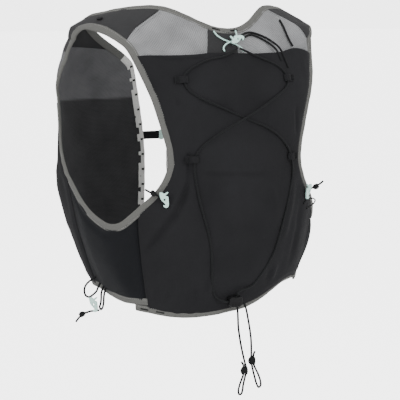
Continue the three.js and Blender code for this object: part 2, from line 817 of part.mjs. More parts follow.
function patch(top, bottom, left, right, rows, columns, outerOff, innerOff) {
  const at = (edge, t) => {
    const place = t * (edge.length - 1);
    const i = Math.min(Math.floor(place), edge.length - 2);
    return {
      turn: lerp(edge[i].turn, edge[i + 1].turn, place - i),
      lift: lerp(edge[i].lift, edge[i + 1].lift, place - i),
    };
  };
  const blend = (v, u, key) => {
    const t = at(top, u)[key];
    const b = at(bottom, u)[key];
    const l = at(left, v)[key];
    const r = at(right, v)[key];
    const corners = lerp(
      lerp(at(top, 0)[key], at(top, 1)[key], u),
      lerp(at(bottom, 0)[key], at(bottom, 1)[key], u),
      v,
    );
    return lerp(t, b, v) + lerp(l, r, u) - corners;
  };
  const face = (off) => (v, u) => {
    const turn = blend(v, u, 'turn');
    const lift = blend(v, u, 'lift');
    return offPoint(turn, lift, off(turn, lift, u, v));
  };
  return wall(rows, columns, face(outerOff), face(innerOff));
}

// Sewn band along an edge: the rounded fold is on the edge and the band lies beside it.

function bandSolid(edge, width, inner, wallThickness, closed, rise = () => 0) {
  const count = edge.length - 1;
  const round = wallThickness * 0.35;
  const outer = inner + wallThickness;
  const folded = [
    [0, inner],
    [0, outer - round],
    [round, outer],
    [width - round, outer],
    [width, outer - round],
    [width, inner],
  ];
  const flat = [[0, inner], [0, outer], [width, outer], [width, inner]];
  const section = wallThickness < BINDING_WALL ? flat : folded;
  const points = edge.map((q) => pointOn(q.turn, q.lift));
  const rings = points.map((p, i) => {
    const before = i > 0 ? points[i - 1] : closed ? points[count - 1] : p;
    const after = i < count ? points[i + 1] : closed ? points[1] : p;
    const run = after.clone().sub(before).normalize();
    const side = outward(p).cross(run).normalize();
    return section.map(([across, off]) => {
      const q = chartOf(p.clone().addScaledVector(side, across));
      return offPoint(q.turn, q.lift, off + rise(i / count));
    });
  });
  return loft(rings, closed);
}

function loft(rings, closed) {
  const size = rings[0].length;
  const positions = [];
  const index = [];
  const used = closed ? rings.slice(0, -1) : rings;
  used.forEach((ring) => ring.forEach((p) => positions.push(p.x, p.y, p.z)));
  const spans = closed ? used.length : used.length - 1;
  for (let i = 0; i < spans; i += 1) {
    const next = (i + 1) % used.length;
    for (let j = 0; j < size; j += 1) {
      const k = (j + 1) % size;
      const a = i * size + j;
      const b = i * size + k;
      const c = next * size + k;
      const d = next * size + j;
      index.push(a, b, c, a, c, d);
    }
  }
  if (!closed) {
    for (let j = 1; j < size - 1; j += 1) {
      const end = (used.length - 1) * size;
      index.push(0, j + 1, j);
      index.push(end, end + j, end + j + 1);
    }
  }
  return closedSolid(positions, index);
}

// Round cord along a smooth path of points.

function cordSolid(points, diameter, sides, steps) {
  const path = new THREE.CatmullRomCurve3(points, false, 'centripetal');
  const outline = new THREE.Shape();
  for (let i = 0; i < sides; i += 1) {
    const angle = (2 * Math.PI * i) / sides;
    const x = (diameter / 2) * Math.cos(angle);
    const y = (diameter / 2) * Math.sin(angle);
    if (i === 0) outline.moveTo(x, y);
    else outline.lineTo(x, y);
  }
  outline.closePath();
  const solid = new THREE.ExtrudeGeometry(outline, { steps, bevelEnabled: false, extrudePath: path });
  return cleaned(solid);
}

function cleaned(geometry) {
  const plain = new THREE.BufferGeometry();
  plain.setAttribute('position', geometry.getAttribute('position'));
  if (geometry.index) plain.setIndex(geometry.index);
  const merged = mergeVertices(plain, 1e-3);
  return closedSolid([...merged.attributes.position.array], [...merged.index.array]);
}

// The group and its materials

const vest = new THREE.Group();
vest.name = 'running_hydration_vest';

const finish = (colour, roughness, metalness = 0) =>
  new THREE.MeshStandardMaterial({ color: colour, roughness, metalness });

const MATERIALS = {
  mesh: finish(COLOURS.mesh, 0.9),
  ripstop: finish(COLOURS.ripstop, 0.7),
  inner: finish(COLOURS.inner, 0.9),
  side: finish(COLOURS.side, 0.8),
  binding: finish(COLOURS.binding, 0.85),
  webbing: finish(COLOURS.webbing, 0.8),
  cord: finish(COLOURS.cord, 0.8),
  mint: finish(COLOURS.mint, 0.45),
  hard: finish(COLOURS.hard, 0.4),
};

function add(name, geometry, material) {
  const mesh = new THREE.Mesh(geometry, MATERIALS[material]);
  mesh.name = name;
  vest.add(mesh);
  return mesh;
}

const onBothSides = (make) => {
  make('left', asIs, 0);
  make('right', mirrored, RIGHT_HEM_RAISE);
};

// Edges shared by the panels and the bindings

const ARMHOLE_ALLOWANCE = BINDING_WIDTH + ARMHOLE_GAP;
const SEAM_ALLOWANCE = BINDING_WIDTH + EDGE_GAP;
const leftArmhole = trace([...LEFT_ARMHOLE, LEFT_ARMHOLE[0]], 48);
const armholeInset = inset(leftArmhole, ARMHOLE_ALLOWANCE, true);
const armholeTwice = [...armholeInset, ...armholeInset.slice(1)];
const leftNeckFront = trace([...HALF_NECKLINE, ...LEFT_FRONT_EDGE.slice(1)], 60);
const neckFrontInset = inset(leftNeckFront, SEAM_ALLOWANCE);
const backHem = trace(BACK_HEM, 36);
const backHemInset = inset(backHem, SEAM_ALLOWANCE);

const yokeAtNeck = { turn: YOKE_SEAM.topTurn, lift: YOKE_SEAM.topLift };
const yokeAtArm = { turn: YOKE_SEAM.endTurn, lift: YOKE_SEAM.endLift };
const seamAtArm = { turn: SIDE_SEAM_TURN, lift: -0.66 };
const wingAtArm = { turn: WING_SEAM_TURN, lift: -0.575 };
const frontAtNeck = { turn: FRONT_SHOULDER_SEAM.neckTurn, lift: FRONT_SHOULDER_SEAM.neckLift };
const frontAtArm = { turn: FRONT_SHOULDER_SEAM.armTurn, lift: FRONT_SHOULDER_SEAM.armLift };

const backSeam = { turn: SIDE_SEAM_TURN, lift: -0.95 };
const backSeamRight = { turn: 180 - SIDE_SEAM_TURN, lift: -0.90 };
const hemUnderBack = between(backHemInset, backSeam, backSeamRight, 48);

// Back panel

const zero = () => 0;
const panelOuter = () => PANEL_WALL;

function sideRows(start, armRows, seamRows, hemEnd, place) {
  const arm = place(between(armholeTwice, start, seamAtArm, armRows));
  return [...arm, ...straight(final(arm), hemEnd, seamRows).slice(1)];
}

function makeBackPanel() {
  const halfNeck = between(neckFrontInset, { turn: 90, lift: 0.01 }, yokeAtNeck, 6, 0);
  const top = [...backwards(halfNeck), ...mirrored(halfNeck).slice(1)];
  const rowsOf = (hemEnd, place) => {
    const below = sideRows(yokeAtArm, 11, 4, hemEnd, place);
    const yoke = straight(place([final(halfNeck)])[0], below[0], 2);
    return [...yoke, ...below.slice(1)];
  };
  const left = rowsOf(first(hemUnderBack), asIs);
  const right = rowsOf(final(hemUnderBack), mirrored);
  add('back_panel', patch(top, hemUnderBack, left, right, 17, 12, panelOuter, zero), 'mesh');
}

// Back pocket: its wall stands off the panel and closes down to it at the sides and the hem

function pocketSpread(turn, lift) {
  const half = tableValue(POCKET_SIDES, 'lift', 'half', lift);
  return clamp(Math.abs(turn - 90) / half, 0, 1);
}

function foldRise(turn, lift) {
  let rise = 0;
  const p = pointOn(turn, lift);
  POCKET_FOLDS.forEach((fold) => {
    const a = pointOn(fold.turnA, fold.liftA);
    const b = pointOn(fold.turnB, fold.liftB);
    const span = b.clone().sub(a);
    const t = clamp(p.clone().sub(a).dot(span) / span.lengthSq(), 0, 1);
    const away = a.addScaledVector(span, t).distanceTo(p) / (fold.width * VEST_HEIGHT);
    rise += fold.rise * Math.exp(-away * away);
  });
  return rise;
}

function pocketInner(turn, lift) {
  const spread = pocketSpread(turn, lift);
  const middle = tableValue(POCKET_SWELL, 'lift', 'swell', lift);
  const body = middle * (1 - spread ** 3) + foldRise(turn, lift) * (1 - spread ** 4);
  return POCKET_SEAT + Math.max(0, body);
}

function pocketOuter(turn, lift) {
  const mouth = tableValue(POCKET_MOUTH, 'turn', 'lift', turn);
  return pocketInner(turn, Math.min(lift, mouth)) + POCKET_WALL;
}

function makeBackPocket() {
  const start = first(POCKET_MOUTH);
  const left = sideRows(start, 10, 6, first(hemUnderBack), asIs);
  const right = sideRows(start, 10, 6, final(hemUnderBack), mirrored);
  const top = trace([first(left), ...POCKET_MOUTH.slice(1, -1), first(right)], 16);
  const outer = (turn, lift) => pocketInner(turn, lift) + POCKET_WALL;
  add('back_pocket', patch(top, hemUnderBack, left, right, 16, 16, outer, pocketInner), 'ripstop');
}

// Dark strip of cloth behind the top hook, from the neckline into the pocket

function makeNeckPatch() {
  const start = { turn: 90, lift: 0.01 };
  const toLeft = between(neckFrontInset, start, { turn: 69, lift: 0.02 }, 6, 0, 0);
  const toRight = mirrored(between(neckFrontInset, start, { turn: 85, lift: 0.01 }, 2, 0, 0));
  const upper = [...backwards(toLeft), ...toRight.slice(1)];
  const lower = straight({ turn: 67.5, lift: -0.118 }, { turn: 91, lift: -0.112 }, 6);
  const left = straight(first(upper), first(lower), 6);
  const right = straight(final(upper), final(lower), 6);
  const inner = () => PANEL_WALL + LAYER_GAP;
  const outer = () => PANEL_WALL + LAYER_GAP + PATCH_WALL;
  add('neck_patch', patch(upper, lower, left, right, 4, 4, outer, inner), 'webbing');
}

makeBackPanel();
makeBackPocket();
makeNeckPatch();

// Shoulder, front panel, front pocket and side panel

function frontSwell(u, v) {
  const across = clamp(Math.min(u, 1 - u) * 3.2, 0, 1);
  const down = v < 0.5 ? lerp(0.45, 1, smooth(v * 2)) : smooth(clamp((1 - v) * 3, 0, 1));
  return POCKET_SEAT + LAYER_GAP + FRONT_POCKET_SWELL * smooth(across) * down;
}

function sideSwell(u, v) {
  return SIDE_SWELL * smooth(clamp(Math.min(u, 1 - u) * 3, 0, 1)) * Math.sin(Math.PI * v);
}

onBothSides((side, place, raise) => {
  const hem = trace(SIDE_HEM.map((row) => ({ ...row, lift: row.lift + raise })), 24);
  const hemInset = inset(hem, SEAM_ALLOWANCE);
  const wingAtHem = { turn: WING_SEAM_TURN, lift: -0.905 + raise };
  const seamAtHem = { turn: SIDE_SEAM_TURN, lift: -0.93 + raise };
  const edgeAtHem = { turn: -74, lift: -0.895 + raise };

  const shoulderNeck = between(neckFrontInset, yokeAtNeck, frontAtNeck, 12);
  const shoulderArm = backwards(between(armholeTwice, frontAtArm, yokeAtArm, 14));
  const shoulder = patch(
    place(shoulderNeck),
    place(shoulderArm),
    place(straight(first(shoulderNeck), first(shoulderArm))),
    place(straight(final(shoulderNeck), final(shoulderArm))),
    5,
    12,
    panelOuter,
    zero,
  );
  add(`shoulder_panel_${side}`, shoulder, 'ripstop');

  const frontHem = between(hemInset, { turn: -71, lift: -0.9 + raise }, wingAtHem, 12, 0);
  const medial = between(neckFrontInset, frontAtNeck, edgeAtHem, 14, CLEARANCE / 2, 0);
  const arm = backwards(between(armholeTwice, wingAtArm, frontAtArm, 10));
  const lateral = [...arm, ...straight(final(arm), final(frontHem), 4).slice(1)];
  const front = patch(
    place(straight(first(medial), first(arm))),
    place(frontHem),
    place(medial),
    place(lateral),
    14,
    8,
    panelOuter,
    zero,
  );
  add(`front_panel_${side}`, front, 'inner');

  const pocketMedial = between(neckFrontInset, FRONT_MOUTH_MEDIAL, edgeAtHem, 11, 0, 0);
  const pocketArm = backwards(between(armholeTwice, wingAtArm, FRONT_MOUTH_SIDE, 7));
  const pocketLateral = [
    ...pocketArm,
    ...straight(final(pocketArm), final(frontHem), 4).slice(1),
  ];
  const pocket = patch(
    place(straight(first(pocketMedial), first(pocketArm))),
    place(frontHem),
    place(pocketMedial),
    place(pocketLateral),
    11,
    10,
    (turn, lift, u, v) => frontSwell(u, v) + POCKET_WALL,
    (turn, lift, u, v) => frontSwell(u, v),
  );
  add(`front_pocket_${side}`, pocket, 'ripstop');

  const underArm = backwards(between(armholeTwice, seamAtArm, wingAtArm, 12));
  const sideHem = between(hemInset, wingAtHem, seamAtHem, 10);
  const sidePanel = patch(
    place(underArm),
    place(sideHem),
    place(straight(first(underArm), first(sideHem))),
    place(straight(final(underArm), final(sideHem))),
    5,
    12,
    (turn, lift, u, v) => sideSwell(u, v) + PANEL_WALL,
    (turn, lift, u, v) => sideSwell(u, v),
  );
  add(`side_panel_${side}`, sidePanel, 'side');

  const ordered = side === 'left' ? asIs : backwards;
  const binding = (edge, closed) => bandSolid(
    ordered(place(edge)), BINDING_WIDTH, BINDING_INNER, BINDING_WALL, closed);
  add(`armhole_binding_${side}`, binding(leftArmhole, true), 'binding');

  const hemEdge = between(
    hem, first(SIDE_HEM), { turn: SIDE_SEAM_TURN, lift: -0.957 + raise }, 14, 0, SEAM_STEP);
  add(`hem_binding_${side}`, binding(hemEdge, false), 'binding');

  const stripEnd = { turn: -76, lift: -0.925 + raise };
  const strip = between(
    leftNeckFront, final(HALF_NECKLINE), stripEnd, 48, 2 * CLEARANCE, SEAM_ALLOWANCE);
  const rise = (t) => DAISY_RISE * Math.abs(Math.sin(Math.PI * DAISY_LOOPS * t));
  const frontStrip = bandSolid(
    ordered(place(strip)), DAISY_WIDTH, BINDING_INNER, DAISY_WALL, false, rise);
  add(`front_strip_${side}`, frontStrip, 'binding');
});

// Neckline and back hem bindings

const halfNeckEdge = between(leftNeckFront, HALF_NECKLINE[0], final(HALF_NECKLINE), 20, 0);
const wholeNeck = [...backwards(mirrored(halfNeckEdge)), ...halfNeckEdge.slice(1)];
const neckBand = bandSolid(wholeNeck, BINDING_WIDTH, BINDING_INNER, BINDING_WALL, false);
add('neckline_binding', neckBand, 'binding');

const backHemEdge = between(
  backHem, { turn: BACK_HEM_START, lift: -0.984 }, { ...backSeamRight, lift: -0.908 }, 24);
const hemBand = bandSolid(backHemEdge, BINDING_WIDTH, BINDING_INNER, BINDING_WALL, false);
add('hem_binding_back', hemBand, 'binding');

// Sternum strap across the open front, with a small hook buckle

const STRAP_FACE = -TORSO_SET_FORWARD - FRONT_DEPTH - STRAP_OFF;

function strapPiece(name, fromX, toX, height, thickness, material) {
  const solid = new THREE.BoxGeometry(Math.abs(toX - fromX), thickness, height);
  const mesh = add(name, solid, material);
  mesh.position.set((fromX + toX) / 2, STRAP_FACE - thickness / 2, STRAP_LIFT * VEST_HEIGHT);
}

strapPiece('sternum_strap_left', STRAP_REACH, BUCKLE_LEFT + CLEARANCE, STRAP_WIDTH, STRAP_WALL,
  'webbing');
strapPiece('sternum_buckle', BUCKLE_LEFT, BUCKLE_RIGHT, BUCKLE_HEIGHT, BUCKLE_THICKNESS, 'mint');
strapPiece('sternum_strap_right', BUCKLE_RIGHT - CLEARANCE, -STRAP_REACH, STRAP_WIDTH, STRAP_WALL,
  'webbing');

// Flat pieces set on the cloth: across runs to the wearer's right, up runs up the cloth

function clothFrame(turn, lift, off) {
  const seat = pointOn(turn, lift);
  const out = outward(seat);
  const across = new THREE.Vector3(0, 0, 1).cross(out).normalize();
  const up = out.clone().cross(across).normalize();
  const frame = new THREE.Matrix4().makeBasis(across, up, out);
  return frame.setPosition(seat.addScaledVector(out, off));
}

function plateSolid(outline, thickness, frame, hole) {
  const shape = new THREE.Shape(outline.map(([a, b]) => new THREE.Vector2(a, b)));
  if (hole) {
    const round = new THREE.Path();
    round.absarc(hole.across, hole.up, hole.radius, 0, 2 * Math.PI, true);
    shape.holes.push(round);
  }
  const solid = new THREE.ExtrudeGeometry(shape, {
    depth: thickness, bevelEnabled: false, curveSegments: 6,
  });
  solid.translate(0, 0, -thickness / 2);
  return cleaned(solid.applyMatrix4(frame));
}

function hookSolid(frame, turned, flip) {
  const c = Math.cos(turned);
  const s = Math.sin(turned);
  const place = (a, b) => {
    const x = a * HOOK_LENGTH * flip;
    const y = b * HOOK_LENGTH;
    return [x * c - y * s, x * s + y * c];
  };
  const outline = HOOK_OUTLINE.map((row) => place(row.across, row.along));
  if (flip < 0) outline.reverse();
  const [across, up] = place(HOOK_HOLE.across, HOOK_HOLE.along);
  return plateSolid(outline, HOOK_THICKNESS, frame, { across, up, radius: HOOK_HOLE.radius });
}

const clothPoints = (rows) => rows.map((row) => offPoint(row.turn, row.lift, row.off));

// Ring-shaped knot round one or two strands of cord

function knotSolid(centre, along, width, length, bore) {
  const profile = [
    [bore / 2, -length / 2],
    [width * 0.36, -length / 2],
    [width / 2, -length / 5],
    [width / 2, length / 5],
    [width * 0.36, length / 2],
    [bore / 2, length / 2],
    [bore / 2, -length / 2],
  ].map(([x, y]) => new THREE.Vector2(x, y));
  const solid = new THREE.LatheGeometry(profile, KNOT_SIDES);
  const turn = new THREE.Quaternion().setFromUnitVectors(
    new THREE.Vector3(0, 1, 0), along.clone().normalize());
  solid.applyQuaternion(turn);
  solid.translate(centre.x, centre.y, centre.z);
  return cleaned(solid);
}

// Bungee lacing over the back pocket: two runs that cross, held by four sewn loops

const laceSeat = CORD_DIAMETER / 2 + LACE_GAP;

function lacePoints(rows) {
  return rows.map((row) => {
    const off = pocketOuter(row.turn, row.lift) + laceSeat + (row.over ?? 0);
    return offPoint(row.turn, row.lift, off);
  });
}

const lockFrame = clothFrame(LOCK_SEAT.turn, LOCK_SEAT.lift,
  pocketOuter(LOCK_SEAT.turn, LOCK_SEAT.lift) + LOCK_STAND + LOCK_DEPTH / 2);
const lockPoint = (across, up, out) => new THREE.Vector3(across, up, out).applyMatrix4(lockFrame);

const laceOne = [
  ...lacePoints(LACE_ONE),
  lockPoint(LOCK_WIDTH * 0.24, LOCK_HEIGHT / 2 + 4, 0),
  lockPoint(LOCK_WIDTH * 0.2, LOCK_HEIGHT / 2 + CLEARANCE, 0),
];
const laceTwo = [
  ...lacePoints(LACE_TWO),
  lockPoint(-LOCK_WIDTH / 2 - 4, LOCK_HEIGHT * 0.02, 0),
  lockPoint(-LOCK_WIDTH / 2 - CLEARANCE, LOCK_HEIGHT * -0.04, 0),
];
add('lace_one', cordSolid(laceOne, CORD_DIAMETER, HELD_SIDES, 52), 'cord');
add('lace_two', cordSolid(laceTwo, CORD_DIAMETER, HELD_SIDES, 52), 'cord');

const lockOutline = [
  [-0.5, -0.28], [-0.34, -0.5], [0.34, -0.5], [0.5, -0.28],
  [0.5, 0.3], [0.36, 0.5], [0, 0.4], [-0.36, 0.5], [-0.5, 0.3],
].map(([a, b]) => [a * LOCK_WIDTH, b * LOCK_HEIGHT]);
add('cord_lock', plateSolid(lockOutline, LOCK_DEPTH, lockFrame), 'hard');

// Sewn loop: a strip of webbing that lies on the pocket and arches over the cord

function laceLoop(turn, lift, outerSide) {
  const base = pocketOuter(turn, lift);
  const frame = clothFrame(turn, lift, base);
  const rise = CORD_DIAMETER + LACE_GAP;
  const rings = LOOP_ARCH.map((row) => {
    const a = row.across * outerSide;
    const low = row.height * rise + LOOP_SEAT;
    return [
      [a, -LOOP_WIDTH / 2, low],
      [a, LOOP_WIDTH / 2, low],
      [a, LOOP_WIDTH / 2, low + LOOP_WALL],
      [a, -LOOP_WIDTH / 2, low + LOOP_WALL],
    ].map(([x, y, z]) => new THREE.Vector3(x, y, z).applyMatrix4(frame));
  });
  return loft(rings, false);
}

LACE_LOOPS.forEach((row) => {
  add(row.name, laceLoop(row.turn, row.lift, row.outerSide), 'webbing');
});

// Free tails below the cord lock, each tied in a loop

function tailPoints(rows) {
  const start = lockPoint(TAIL_START.across, -LOCK_HEIGHT / 2 - CLEARANCE, TAIL_START.out);
  return rows.map((row) => new THREE.Vector3(
    start.x - row.across, start.y + (row.back ?? 0), start.z - row.down));
}

function addTail(name, rows, knot) {
  const points = tailPoints(rows);
  add(name, cordSolid(points, CORD_DIAMETER, FREE_SIDES, 40), 'cord');
  const centre = tailPoints([knot])[0];
  const lower = tailPoints([{ across: knot.across + knot.lean, down: knot.down + 1 }])[0];
  add(`${name}_knot`, knotSolid(centre, lower.sub(centre), TAIL_KNOT_WIDTH, TAIL_KNOT_LENGTH,
    TAIL_KNOT_BORE), 'cord');
}

addTail('tail_left', TAIL_LEFT, TAIL_LEFT_KNOT);
addTail('tail_right', TAIL_RIGHT, TAIL_RIGHT_KNOT);

// Top hook and its cords between the neckline and the pocket mouth

add('top_hook', hookSolid(clothFrame(TOP_HOOK.turn, TOP_HOOK.lift, TOP_HOOK.off),
  TOP_HOOK.turned, 1), 'mint');
add('top_cord_long', cordSolid(clothPoints(TOP_CORD_LONG), TRIM_CORD_DIAMETER, HELD_SIDES, 12), 'mint');
add('top_cord_short', cordSolid(clothPoints(TOP_CORD_SHORT), TRIM_CORD_DIAMETER, HELD_SIDES, 12), 'mint');
add('yoke_cord_upper', cordSolid(clothPoints(YOKE_CORD_UPPER), CORD_DIAMETER, HELD_SIDES, 18), 'cord');
add('yoke_cord_lower', cordSolid(clothPoints(YOKE_CORD_LOWER), CORD_DIAMETER, HELD_SIDES, 16), 'cord');

add('shoulder_cord_right', cordSolid(clothPoints(SHOULDER_CORD), CORD_DIAMETER, HELD_SIDES, 10),
  'cord');
const tab = new THREE.BoxGeometry(SHOULDER_TAB.width, SHOULDER_TAB.height, SHOULDER_TAB.wall);
tab.applyMatrix4(clothFrame(SHOULDER_TAB.turn, SHOULDER_TAB.lift, SHOULDER_TAB.off));
add('shoulder_tab_left', tab, 'webbing');

// Side hooks on the armhole bindings, each with a knotted cord end

function knotAt(points, index) {
  return points[index + 1].clone().sub(points[index - 1]);
}

function sideCordPoints(rows) {
  return rows.map((row) => {
    const clear = pocketOuter(row.turn, row.lift) + laceSeat;
    return offPoint(row.turn, row.lift, Math.max(row.off, clear));
  });
}

function addSideHook(side, place, flip, tailRows) {
  const seat = place([SIDE_HOOK])[0];
  add(`side_hook_${side}`, hookSolid(clothFrame(seat.turn, seat.lift, SIDE_HOOK.off), 0, flip),
    'mint');
  const points = sideCordPoints(tailRows);
  add(`side_hook_cord_${side}`, cordSolid(points, CORD_DIAMETER, FREE_SIDES, 10), 'cord');
  add(`side_hook_knot_${side}`, knotSolid(points[SIDE_KNOT_INDEX],
    knotAt(points, SIDE_KNOT_INDEX), HOOK_KNOT_WIDTH, HOOK_KNOT_LENGTH, HOOK_KNOT_BORE), 'cord');
}

addSideHook('left', asIs, 1, SIDE_CORD_LEFT);
addSideHook('right', mirrored, -1, SIDE_CORD_RIGHT);
const sideLoop = sideCordPoints(SIDE_LOOP_RIGHT);
add('side_loop_right', cordSolid(sideLoop, FINE_CORD_DIAMETER, FREE_SIDES, 14), 'cord');

// Hem hook that hangs below the left side, with its cords

const freePoints = (rows) => rows.map((row) => new THREE.Vector3(
  row.side * CHEST_HALF_WIDTH, row.back * BACK_DEPTH, row.lift * VEST_HEIGHT));

function hemHookFrame() {
  const seat = freePoints([HEM_HOOK])[0];
  const facing = THREE.MathUtils.degToRad(HEM_HOOK.facing);
  const out = new THREE.Vector3(Math.cos(facing), Math.sin(facing), 0);
  const across = new THREE.Vector3(0, 0, 1).cross(out);
  const frame = new THREE.Matrix4().makeBasis(across, new THREE.Vector3(0, 0, 1), out);
  return frame.setPosition(seat);
}

add('hem_hook_left', hookSolid(hemHookFrame(), HEM_HOOK.turned, 1), 'mint');
add('hem_loop_left', cordSolid(freePoints(HEM_LOOP), CORD_DIAMETER, FREE_SIDES, 18), 'cord');
add('hem_strands_left', cordSolid(freePoints(HEM_STRANDS), CORD_DIAMETER, FREE_SIDES, 16), 'cord');
const hemTail = freePoints(HEM_TAIL);
add('hem_tail_left', cordSolid(hemTail, CORD_DIAMETER, FREE_SIDES, 10), 'cord');
add('hem_tail_knot_left', knotSolid(hemTail[HEM_KNOT_INDEX], knotAt(hemTail, HEM_KNOT_INDEX),
  HOOK_KNOT_WIDTH, HOOK_KNOT_LENGTH, HOOK_KNOT_BORE), 'cord');

export default vest;
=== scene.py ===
import math

import bmesh
import bpy
import numpy as np
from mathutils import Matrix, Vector, noise


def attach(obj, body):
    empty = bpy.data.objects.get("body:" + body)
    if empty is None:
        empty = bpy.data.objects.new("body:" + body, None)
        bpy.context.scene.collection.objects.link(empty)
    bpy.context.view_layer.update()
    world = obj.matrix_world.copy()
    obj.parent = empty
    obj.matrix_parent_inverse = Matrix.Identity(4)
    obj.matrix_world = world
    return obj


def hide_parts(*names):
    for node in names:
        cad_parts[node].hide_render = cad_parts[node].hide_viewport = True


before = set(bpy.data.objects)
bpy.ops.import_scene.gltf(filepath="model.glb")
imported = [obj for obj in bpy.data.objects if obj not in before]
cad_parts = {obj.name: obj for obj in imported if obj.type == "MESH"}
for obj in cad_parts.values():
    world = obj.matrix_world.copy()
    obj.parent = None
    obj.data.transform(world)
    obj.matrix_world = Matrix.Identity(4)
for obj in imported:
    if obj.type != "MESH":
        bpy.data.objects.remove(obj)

bl_info = {
    "name": "Running Hydration Vest",
    "version": (1, 0, 0),
    "blender": (4, 5, 0),
    "location": "3D View > Sidebar > Vest",
    "description": "Builds the cloth, bindings, lacing and hooks of a running vest",
    "category": "Add Mesh",
}

# Cloth sizes in millimetres, and the torso that the cloth lies on

MM = 0.001
VEST_HEIGHT = 362.0
CHEST_HALF_WIDTH = 160.0
FRONT_DEPTH = 100.0
BACK_DEPTH = 107.0
TORSO_SET_FORWARD = 16.0
FRONT_SQUARENESS = 3.6
BACK_SQUARENESS = 2.3
SHOULDER_START = 0.304
SHOULDER_LIFT = -SHOULDER_START * VEST_HEIGHT
SHOULDER_CLOSE_HEIGHT = 0.336 * VEST_HEIGHT
SHOULDER_CLOSE_POWER = 1.415
SECTION_POWER = 2.3
LIFT_ARM = 150.0

PANEL_WALL = 1.8
POCKET_WALL = 1.4
PATCH_WALL = 1.0
LAYER_GAP = 0.5
POCKET_SEAT = PANEL_WALL + LAYER_GAP
PANEL_TUCK = 5.5                    # the panels' edges stop this far inside the bound edge
STRIP_WIDTH = 9.0
STRIP_LOOPS = 15
CORD_DIAMETER = 2.0
FINE_CORD_DIAMETER = 1.6
TRIM_CORD_DIAMETER = 1.8
HOOK_LENGTH = 18.0
HOOK_THICKNESS = 2.4
LOCK_WIDTH = 17.0
LOCK_HEIGHT = 13.0
LOCK_DEPTH = 9.0
LOCK_STAND = 2.2
CLEARANCE = 0.4
LACE_GAP = 0.5
TAIL_KNOT_LENGTH = 10.0
HOOK_KNOT_LENGTH = 8.0

# Level sections of the torso: share of the height below the shoulders, then shares of the chest's
# half width, front depth and back depth

SECTIONS = np.array([
    (0.00, 1.34, 0.92, 0.93),
    (0.055, 1.35, 0.95, 0.96),
    (0.08, 1.355, 0.96, 0.98),
    (0.116, 1.22, 0.98, 1.00),
    (0.182, 1.11, 1.00, 1.00),
    (0.304, 1.00, 1.00, 1.00),
    (0.414, 0.987, 1.00, 1.00),
    (0.552, 0.975, 1.00, 1.00),
    (0.724, 0.894, 0.96, 1.00),
    (0.829, 0.819, 0.88, 0.963),
    (0.939, 0.731, 0.80, 0.907),
    (1.028, 0.65, 0.74, 0.86),
    (1.160, 0.56, 0.66, 0.785),
])

# Edges of the cloth as (turn, lift): turn in degrees from the wearer's left towards the back,
# lift as a share of the height above the shoulders

LEFT_ARMHOLE = [
    (9.5, -0.105), (15.7, -0.111), (21.3, -0.125), (25.5, -0.142), (30.5, -0.188),
    (35.0, -0.242), (38.5, -0.296), (41.0, -0.350), (43.6, -0.410), (45.6, -0.465),
    (45.9, -0.510), (43.6, -0.555), (39.0, -0.598), (33.5, -0.632), (28.2, -0.664),
    (22.5, -0.692), (16.8, -0.698), (11.0, -0.684), (4.5, -0.660), (-1.5, -0.628),
    (-7.0, -0.580), (-13.5, -0.520), (-19.0, -0.462), (-21.8, -0.405), (-21.8, -0.350),
    (-20.0, -0.300), (-14.5, -0.252), (-10.0, -0.200), (-7.5, -0.160), (-5.0, -0.128),
    (-0.5, -0.110), (4.5, -0.103),
]
HALF_NECKLINE = [
    (90, 0.038), (79, 0.042), (65, 0.060), (50, 0.080), (35, 0.086), (24, 0.072), (12, 0.030),
    (0, -0.010), (-18, -0.042), (-36, -0.072), (-50, -0.095), (-60, -0.120),
]
LEFT_FRONT_EDGE = [
    (-60, -0.120), (-68.5, -0.160), (-74, -0.250), (-77.5, -0.350), (-80, -0.440),
    (-81.3, -0.530), (-80.6, -0.620), (-79, -0.710), (-77.5, -0.820), (-76, -0.925),
]
BACK_HEM = [
    (16, -0.980), (22, -0.984), (31.3, -0.990), (44, -1.000), (56.5, -1.003), (74, -0.997),
    (84, -0.990), (96, -0.982), (108, -0.962), (118.5, -0.935), (128, -0.912), (138, -0.906),
    (148.7, -0.908), (156, -0.910),
]
SIDE_HEM = [
    (-76, -0.925), (-55, -0.928), (-30, -0.930), (-10, -0.932), (3, -0.949), (14, -0.961),
    (30, -0.963), (38, -0.963),
]
RIGHT_HEM_RAISE = 0.045
BACK_HEM_START = 22
SIDE_SEAM_TURN = 31.3
SEAM_OVERLAP = 1.8
WING_SEAM_TURN = -12
YOKE_AT_NECK = (32, 0.045)
YOKE_AT_ARM = (25.4, -0.112)
FRONT_AT_NECK = (-50, -0.115)
FRONT_AT_ARM = (-10, -0.17)
SEAM_AT_ARM = (SIDE_SEAM_TURN, -0.66)
WING_AT_ARM = (WING_SEAM_TURN, -0.575)
FRONT_MOUTH_MEDIAL = (-70, -0.318)
FRONT_MOUTH_SIDE = (-28, -0.322)
POCKET_LINE_LIFT = -0.318
FRONT_POCKET_SWELL = 11.0
SIDE_SWELL = 5.0

# Back pocket: (lift, half width in degrees), mouth as (turn, lift), swell down its middle

POCKET_SIDES = np.array([
    (-1.010, 58), (-0.700, 58), (-0.640, 53), (-0.575, 44.2), (-0.505, 40.8), (-0.430, 42.5),
    (-0.365, 45), (-0.300, 47.8), (-0.240, 51.5), (-0.175, 56.5), (-0.110, 64),
])
POCKET_MOUTH = [
    (33.5, -0.140), (45, -0.140), (56, -0.126), (70, -0.106), (80, -0.101), (92, -0.101),
    (109, -0.110), (124, -0.120), (136, -0.121), (146.5, -0.124),
]
POCKET_SWELL = np.array([
    (-1.02, 0.0), (-0.965, 1.0), (-0.90, 4.0), (-0.80, 7.5), (-0.65, 9.5), (-0.45, 9.0),
    (-0.30, 7.0), (-0.18, 4.5), (-0.09, 3.0),
])

# Folds as (turn, lift) from one end to the other, width as a share of the height, rise in
# millimetres, negative for a valley

